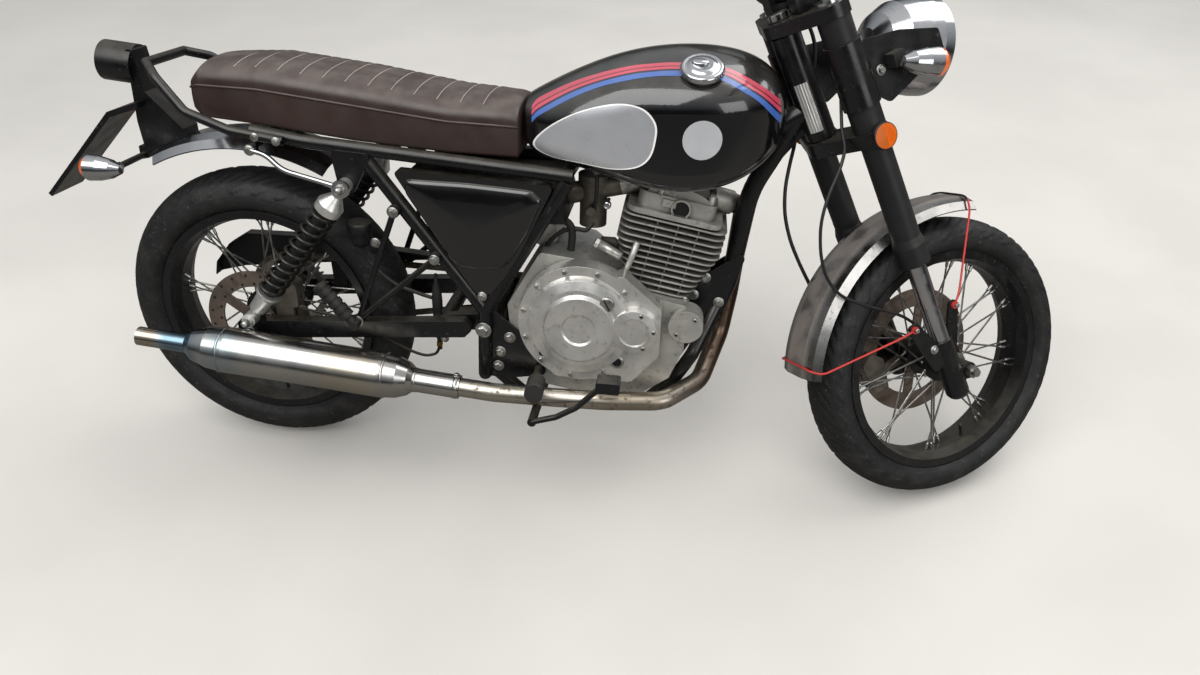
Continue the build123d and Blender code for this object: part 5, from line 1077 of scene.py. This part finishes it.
def brake_parts():
    """Reservoir, rear master cylinder with its boot, and their hoses, ahead of the rear wheel."""
    shape = Shape()
    cup = Matrix.Translation(RESERVOIR_AT)
    shape.add(lathe(RESERVOIR, 36), 0, True, cup)
    for index in range(RESERVOIR_RIBS):
        turn = Matrix.Rotation(2 * pi * index / RESERVOIR_RIBS, 4, "Z")
        shape.add(block((1.4, 2.4, 14.0), (24.4, 0.0, 538.0)), 0, False, cup @ turn)
    hex_bolt(shape, (272.0, -94.0, 508.0), (0, -1, 0), 7.0, 1)
    shape.add(block((36.0, 3.0, 12.0), (266.0, -91.0, 508.0)), 0, False)
    shape.add(lathe(MASTER_CYLINDER, 24), 2, True, Matrix.Translation(MASTER_AT))
    for z in (306.0, 344.0):
        hex_bolt(shape, (400.0, -90.0, z), (0, -1, 0), 6.0, 1)
    shape.add(block((10.0, 10.0, 10.0), (386.0, -82.0, 288.0)), 3, False)
    for radius, points in BRAKE_LINES:
        shape.add(tube(spline(points), radius, 10), 2)
    shape.make("rear_brake_parts", BIKE, "frame", ["plastic", "bolt", "rubber", "brass"], "black_plastic")


PANEL_FACE = ((352.0, 652.0), (470.0, 652.0), (588.0, 646.0), (609.0, 628.0), (580.0, 560.0), (546.0, 500.0),
              (528.0, 486.0), (480.0, 481.0), (444.0, 484.0), (428.0, 500.0), (392.0, 560.0), (350.0, 626.0))
PANEL_RISE = (
    # share of the outline, height over the flat panel
    (1.0, 0.0), (0.985, 3.5), (0.955, 6.0), (0.90, 7.5), (0.75, 9.0), (0.5, 10.5), (0.25, 11.5), (0.0, 11.8),
)
PANEL_Y = 124.0


def panel_faces():
    """Glossy raised face of each side panel with the bolt below it."""
    corners = [Vector(a) for a in PANEL_FACE]
    curve = [p.lerp(q, s) for p, q in zip(corners, corners[1:] + corners[:1])
             for s in (0.0, 0.12, 0.3, 0.5, 0.7, 0.88)]
    smooth = [(curve[k - 1] + curve[k] * 2 + curve[(k + 1) % len(curve)]) / 4 for k in range(len(curve))]
    middle = sum(smooth, Vector((0.0, 0.0))) / len(smooth)
    for side, label in ((-1, "right"), (1, "left")):
        points = []
        for share, rise in PANEL_RISE:
            for p in smooth:
                q = middle + (p - middle) * share
                points.append((q.x, side * (PANEL_Y + rise), q.y))
        shape = Shape()
        shape.add((points, turned(grid_faces(len(PANEL_RISE), len(smooth), wrap_columns=True), side > 0)))
        hex_bolt(shape, (490.0, side * PANEL_Y, 424.0), (0, side, 0), 6.5, 1)
        shape.make("side_panel_face_" + label, BIKE, "frame", ["panel_black", "bolt"], "panel_paint")


SILENCER_START, SILENCER_END = Vector((450.0, -172.0, 242.0)), Vector((-200.0, -194.0, 311.0))
SILENCER_BANDS = (
    # distance from the front, radius, width
    (150.0, 47.3, 4.0), (478.0, 47.3, 4.0), (88.0, 25.2, 6.0), (4.0, 25.0, 8.0),
)


def muffler_bands():
    """Seams of the silencer and the collar where it joins the pipe."""
    place = aim(SILENCER_START, SILENCER_END - SILENCER_START)
    shape = Shape()
    for low, radius, wide in SILENCER_BANDS:
        seam = ((radius - 2.5, low - 1.0), (radius, low), (radius, low + wide),
                (radius - 2.5, low + wide + 1.0))
        shape.add(lathe(seam, 48), 0, True, place)
    hex_bolt(shape, place @ Vector((0.0, 25.0, 8.0)), place.to_3x3() @ Vector((0, 1, 0)), 5.0, 1)
    shape.make("muffler_bands", BIKE, "frame", ["muffler", "bolt"], "chrome")


barrel_details()
hoses()
brake_parts()
panel_faces()
muffler_bands()
frame_bolts()
engine_bolts()


FORK_BOLTS = (
    # place and direction on the left, radius, washer
    ((41.0, 90.0, 775.0), (0, 0, 1), 11.0, False),
    ((68.0, 74.0, 756.0), (0.9, -0.2, 0), 6.0, True),
    ((66.0, 74.0, 527.0), (0.9, -0.2, 0), 6.0, True),
    ((91.0, 99.2, 626.0), (0, 1, 0), 6.5, True),
    ((-15.0, 110.0, 149.0), (0, 1, 0), 5.0, False),
    ((84.0, 110.0, 147.0), (0, 1, 0), 5.0, False),
    ((12.0, 104.2, 86.0), (0, 1, 0), 6.0, True),
)


def fork_small_parts():
    """Caps, pinch bolts, bar clamp bolts, lamp bolts and axle nuts on the steering."""
    shape = Shape()
    for side in (-1, 1):
        for (x, y, z), (ahead, aside, up), radius, washer in FORK_BOLTS:
            hex_bolt(shape, (x, side * y, z), (ahead, side * aside, up), radius, washer=washer)
        for x in (14.0, 42.0):
            socket_screw(shape, (x, side * 40.0, 816.0), (0, 0, 1), 4.5)
        shape.add(block((24.0, 24.0, 24.0), (118.0, side * 111.0, 634.0)), 2, False)
    hex_bolt(shape, (0.0, 0.0, 770.8), (0, 0, 1), 19.5, 0, washer=False, height=8.6)
    shape.make("fork_bolts", FORK, "steering", ["bolt", "dark", "rubber"], "steel")


fork_small_parts()

PLATE_LOW, PLATE_HIGH, PLATE_ROWS, PLATE_COLUMNS = 562.0, 655.0, 5, 41
PLATE_START, PLATE_SPAN = -128.0, 52.0
PLATE_RADIUS, PLATE_RIB = 27.8, 1.0


def head_plate():
    """Ribbed bright plate on the right of the steering head."""
    across = Vector(JOINTS["rear_wheel_spin"]["axis"])
    place = frame_matrix(across, JOINTS["steering_turn"]["axis"], FORK.translation)
    points = []
    for z in np.linspace(PLATE_LOW, PLATE_HIGH, PLATE_ROWS):
        for k in range(PLATE_COLUMNS):
            turn = radians(PLATE_START + PLATE_SPAN * k / (PLATE_COLUMNS - 1))
            radius = PLATE_RADIUS + (PLATE_RIB if k % 8 in (2, 3, 4, 5) else 0.0)
            points.append((radius * cos(turn), radius * sin(turn), z))
    shape = Shape()
    shape.add((points, grid_faces(PLATE_ROWS, PLATE_COLUMNS)))
    shape.make("head_plate", place, "frame", ["bright_alloy"], "alloy")


head_plate()

FRONT_LENS = (108.0, 136.0, 632.0)
LENS_AHEAD, LENS_RADIUS = 72.0, 24.8
REFLECTOR, REFLECTOR_RADIUS = (41.0, 121.3, 527.5), 22.0


def amber_parts():
    """Domed signal lenses and the two-tone round reflectors in their black rings."""
    shape = Shape()
    forward = Vector((cos(RAKE), 0.0, -sin(RAKE)))
    dome = [(LENS_RADIUS * sin(a), 1.0 + 19.0 * cos(a) ** 0.8)
            for a in (0.0, 0.3, 0.6, 0.9, 1.2, 1.4)]
    dome += [(LENS_RADIUS, 1.0), (LENS_RADIUS, -0.5)]
    ring = ((REFLECTOR_RADIUS, 7.2), (23.8, 6.6), (24.2, 5.0), (24.2, 0.0))
    rim = [(REFLECTOR_RADIUS * cos(a), REFLECTOR_RADIUS * sin(a), 7.3)
           for a in np.arange(-pi / 2, 1.6, pi / 24)]
    fan = [(0, k + 1, k + 2) for k in range(len(rim) - 1)]
    for side in (-1, 1):
        start = Vector((FRONT_LENS[0], side * FRONT_LENS[1], FRONT_LENS[2])) + forward * LENS_AHEAD
        shape.add(lathe(dome, 40), 0, True, aim(start, forward))
        face = aim((REFLECTOR[0], side * REFLECTOR[1], REFLECTOR[2]), (0, side, 0))
        shape.add(lathe(ring, 40), 2, True, face)
        for turn, finish in ((0.0, 0), (pi, 1)):
            shape.add(([(0.0, 0.0, 8.4)] + rim, fan), finish, False, face @ Matrix.Rotation(turn, 4, "Z"))
    piece = shape.make("signal_lenses", FORK, "steering", ["amber", "amber_dark", "plastic"], "amber_lens")
    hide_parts("amber_lenses")


amber_parts()


# Camera, light and floor

CAMERA_OFFSET = (0.86919, -1.41763, 1.40269)
CAMERA_YAW, CAMERA_PITCH, CAMERA_ROLL = 6.0772, -37.2297, -0.82298
CAMERA_LENS, CAMERA_SENSOR = 26.0159, 36.0


def camera():
    """The photo's camera, level before its yaw, pitch and roll."""
    turn = Matrix.Identity(4)
    for angle, axis in ((CAMERA_YAW, "Z"), (CAMERA_PITCH, "X"), (CAMERA_ROLL, "Y")):
        turn = turn @ Matrix.Rotation(radians(angle), 4, axis)
    data = bpy.data.cameras.new("camera")
    data.lens = CAMERA_LENS
    data.sensor_width = CAMERA_SENSOR
    data.clip_start = 0.05
    made = put("camera", data)
    eye = BIKE.translation + Vector(CAMERA_OFFSET)
    made.matrix_world = Matrix.Translation(eye) @ turn @ Matrix.Rotation(pi / 2, 4, "X")
    bpy.context.scene.camera = made
    made["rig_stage"] = True


LAMPS = (
    # place, size, power
    ((-1.2, -2.2, 4.2), 4.0, 150.0),
    ((2.5, 2.0, 4.0), 3.5, 90.0),
    ((3.5, -3.5, 2.2), 2.5, 45.0),
)
LAMP_TARGET = (0.0, 0.0, 0.4)
SKY_STRENGTH = 0.75
SKY_LIGHT = (0.9, 0.92, 0.95, 1.0)
MIRRORED_FLOOR, MIRRORED_TOP = "#8A857C", (1.0, 1.0, 1.0, 1.0)
MIRRORED = (
    # height, colour that bright surfaces mirror
    (0.44, "#5A5750"), (0.5, "#2E2F2C"), (0.56, "#3A3D3F"), (0.68, "#A3A7AB"), (0.82, "#D4D7DA"),
)


def studio():
    """Area lamps and a sky that lights evenly but is mirrored with a dark horizon."""
    for index, (place, size, power) in enumerate(LAMPS):
        data = bpy.data.lights.new(f"lamp_{index}", "AREA")
        data.size = size
        data.energy = power
        lamp = put(f"lamp_{index}", data)
        aimed = (Vector(LAMP_TARGET) - Vector(place)).to_track_quat("-Z", "Y").to_matrix().to_4x4()
        lamp.matrix_world = Matrix.Translation(Vector(place)) @ aimed
        lamp["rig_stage"] = True
    world = bpy.data.worlds.new("studio")
    bpy.context.scene.world = world
    world.use_nodes = True
    sky = Nodes(world.node_tree)
    where = sky.node("TexCoord").outputs["Generated"]
    height = sky.node("SeparateXYZ", {0: where}).outputs["Z"]
    share = sky.node("MapRange", {"From Min": -1.0, "Value": height}).outputs["Result"]
    ramp = sky.node("ValToRGB", {"Fac": share})
    ends = ramp.color_ramp.elements
    ends[0].color = linear(MIRRORED_FLOOR)
    ends[1].color = MIRRORED_TOP
    for position, colour in MIRRORED:
        ends.new(position).color = linear(colour)
    mirrored = sky.node("LightPath").outputs["Is Glossy Ray"]
    pick = sky.node("Mix", {"Factor": mirrored, "A": SKY_LIGHT, "B": ramp.outputs["Color"]},
                    data_type="RGBA")
    light = sky.tree.nodes["Background"]
    light.inputs["Strength"].default_value = SKY_STRENGTH
    sky.link(pick.outputs["Result"], light.inputs["Color"])


FLOOR_REACH, FLOOR_DROP = 20, 0.0005


def floor():
    """Light ground that looks darker where bright surfaces mirror it."""
    made = Finish("floor", "#CFCBC4", 0.85).uneven(0.04, 1.5, 0.05)
    mirrored = made.node("LightPath").outputs["Is Glossy Ray"]
    made.cover(made.math("MULTIPLY", mirrored, 0.85), "#4C4841", 0.85)
    mesh = bpy.data.meshes.new("floor")
    corners = ((-1, -1), (1, -1), (1, 1), (-1, 1))
    mesh.from_pydata([(FLOOR_REACH * i, FLOOR_REACH * j, 0) for i, j in corners], [], [(0, 1, 2, 3)])
    mesh.materials.append(made.relief(0.1, 60.0).done())
    piece = put("floor", mesh)
    piece.location.z = -FLOOR_DROP
    piece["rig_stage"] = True


camera()
studio()
floor()
bpy.context.scene.view_settings.view_transform = "Standard"
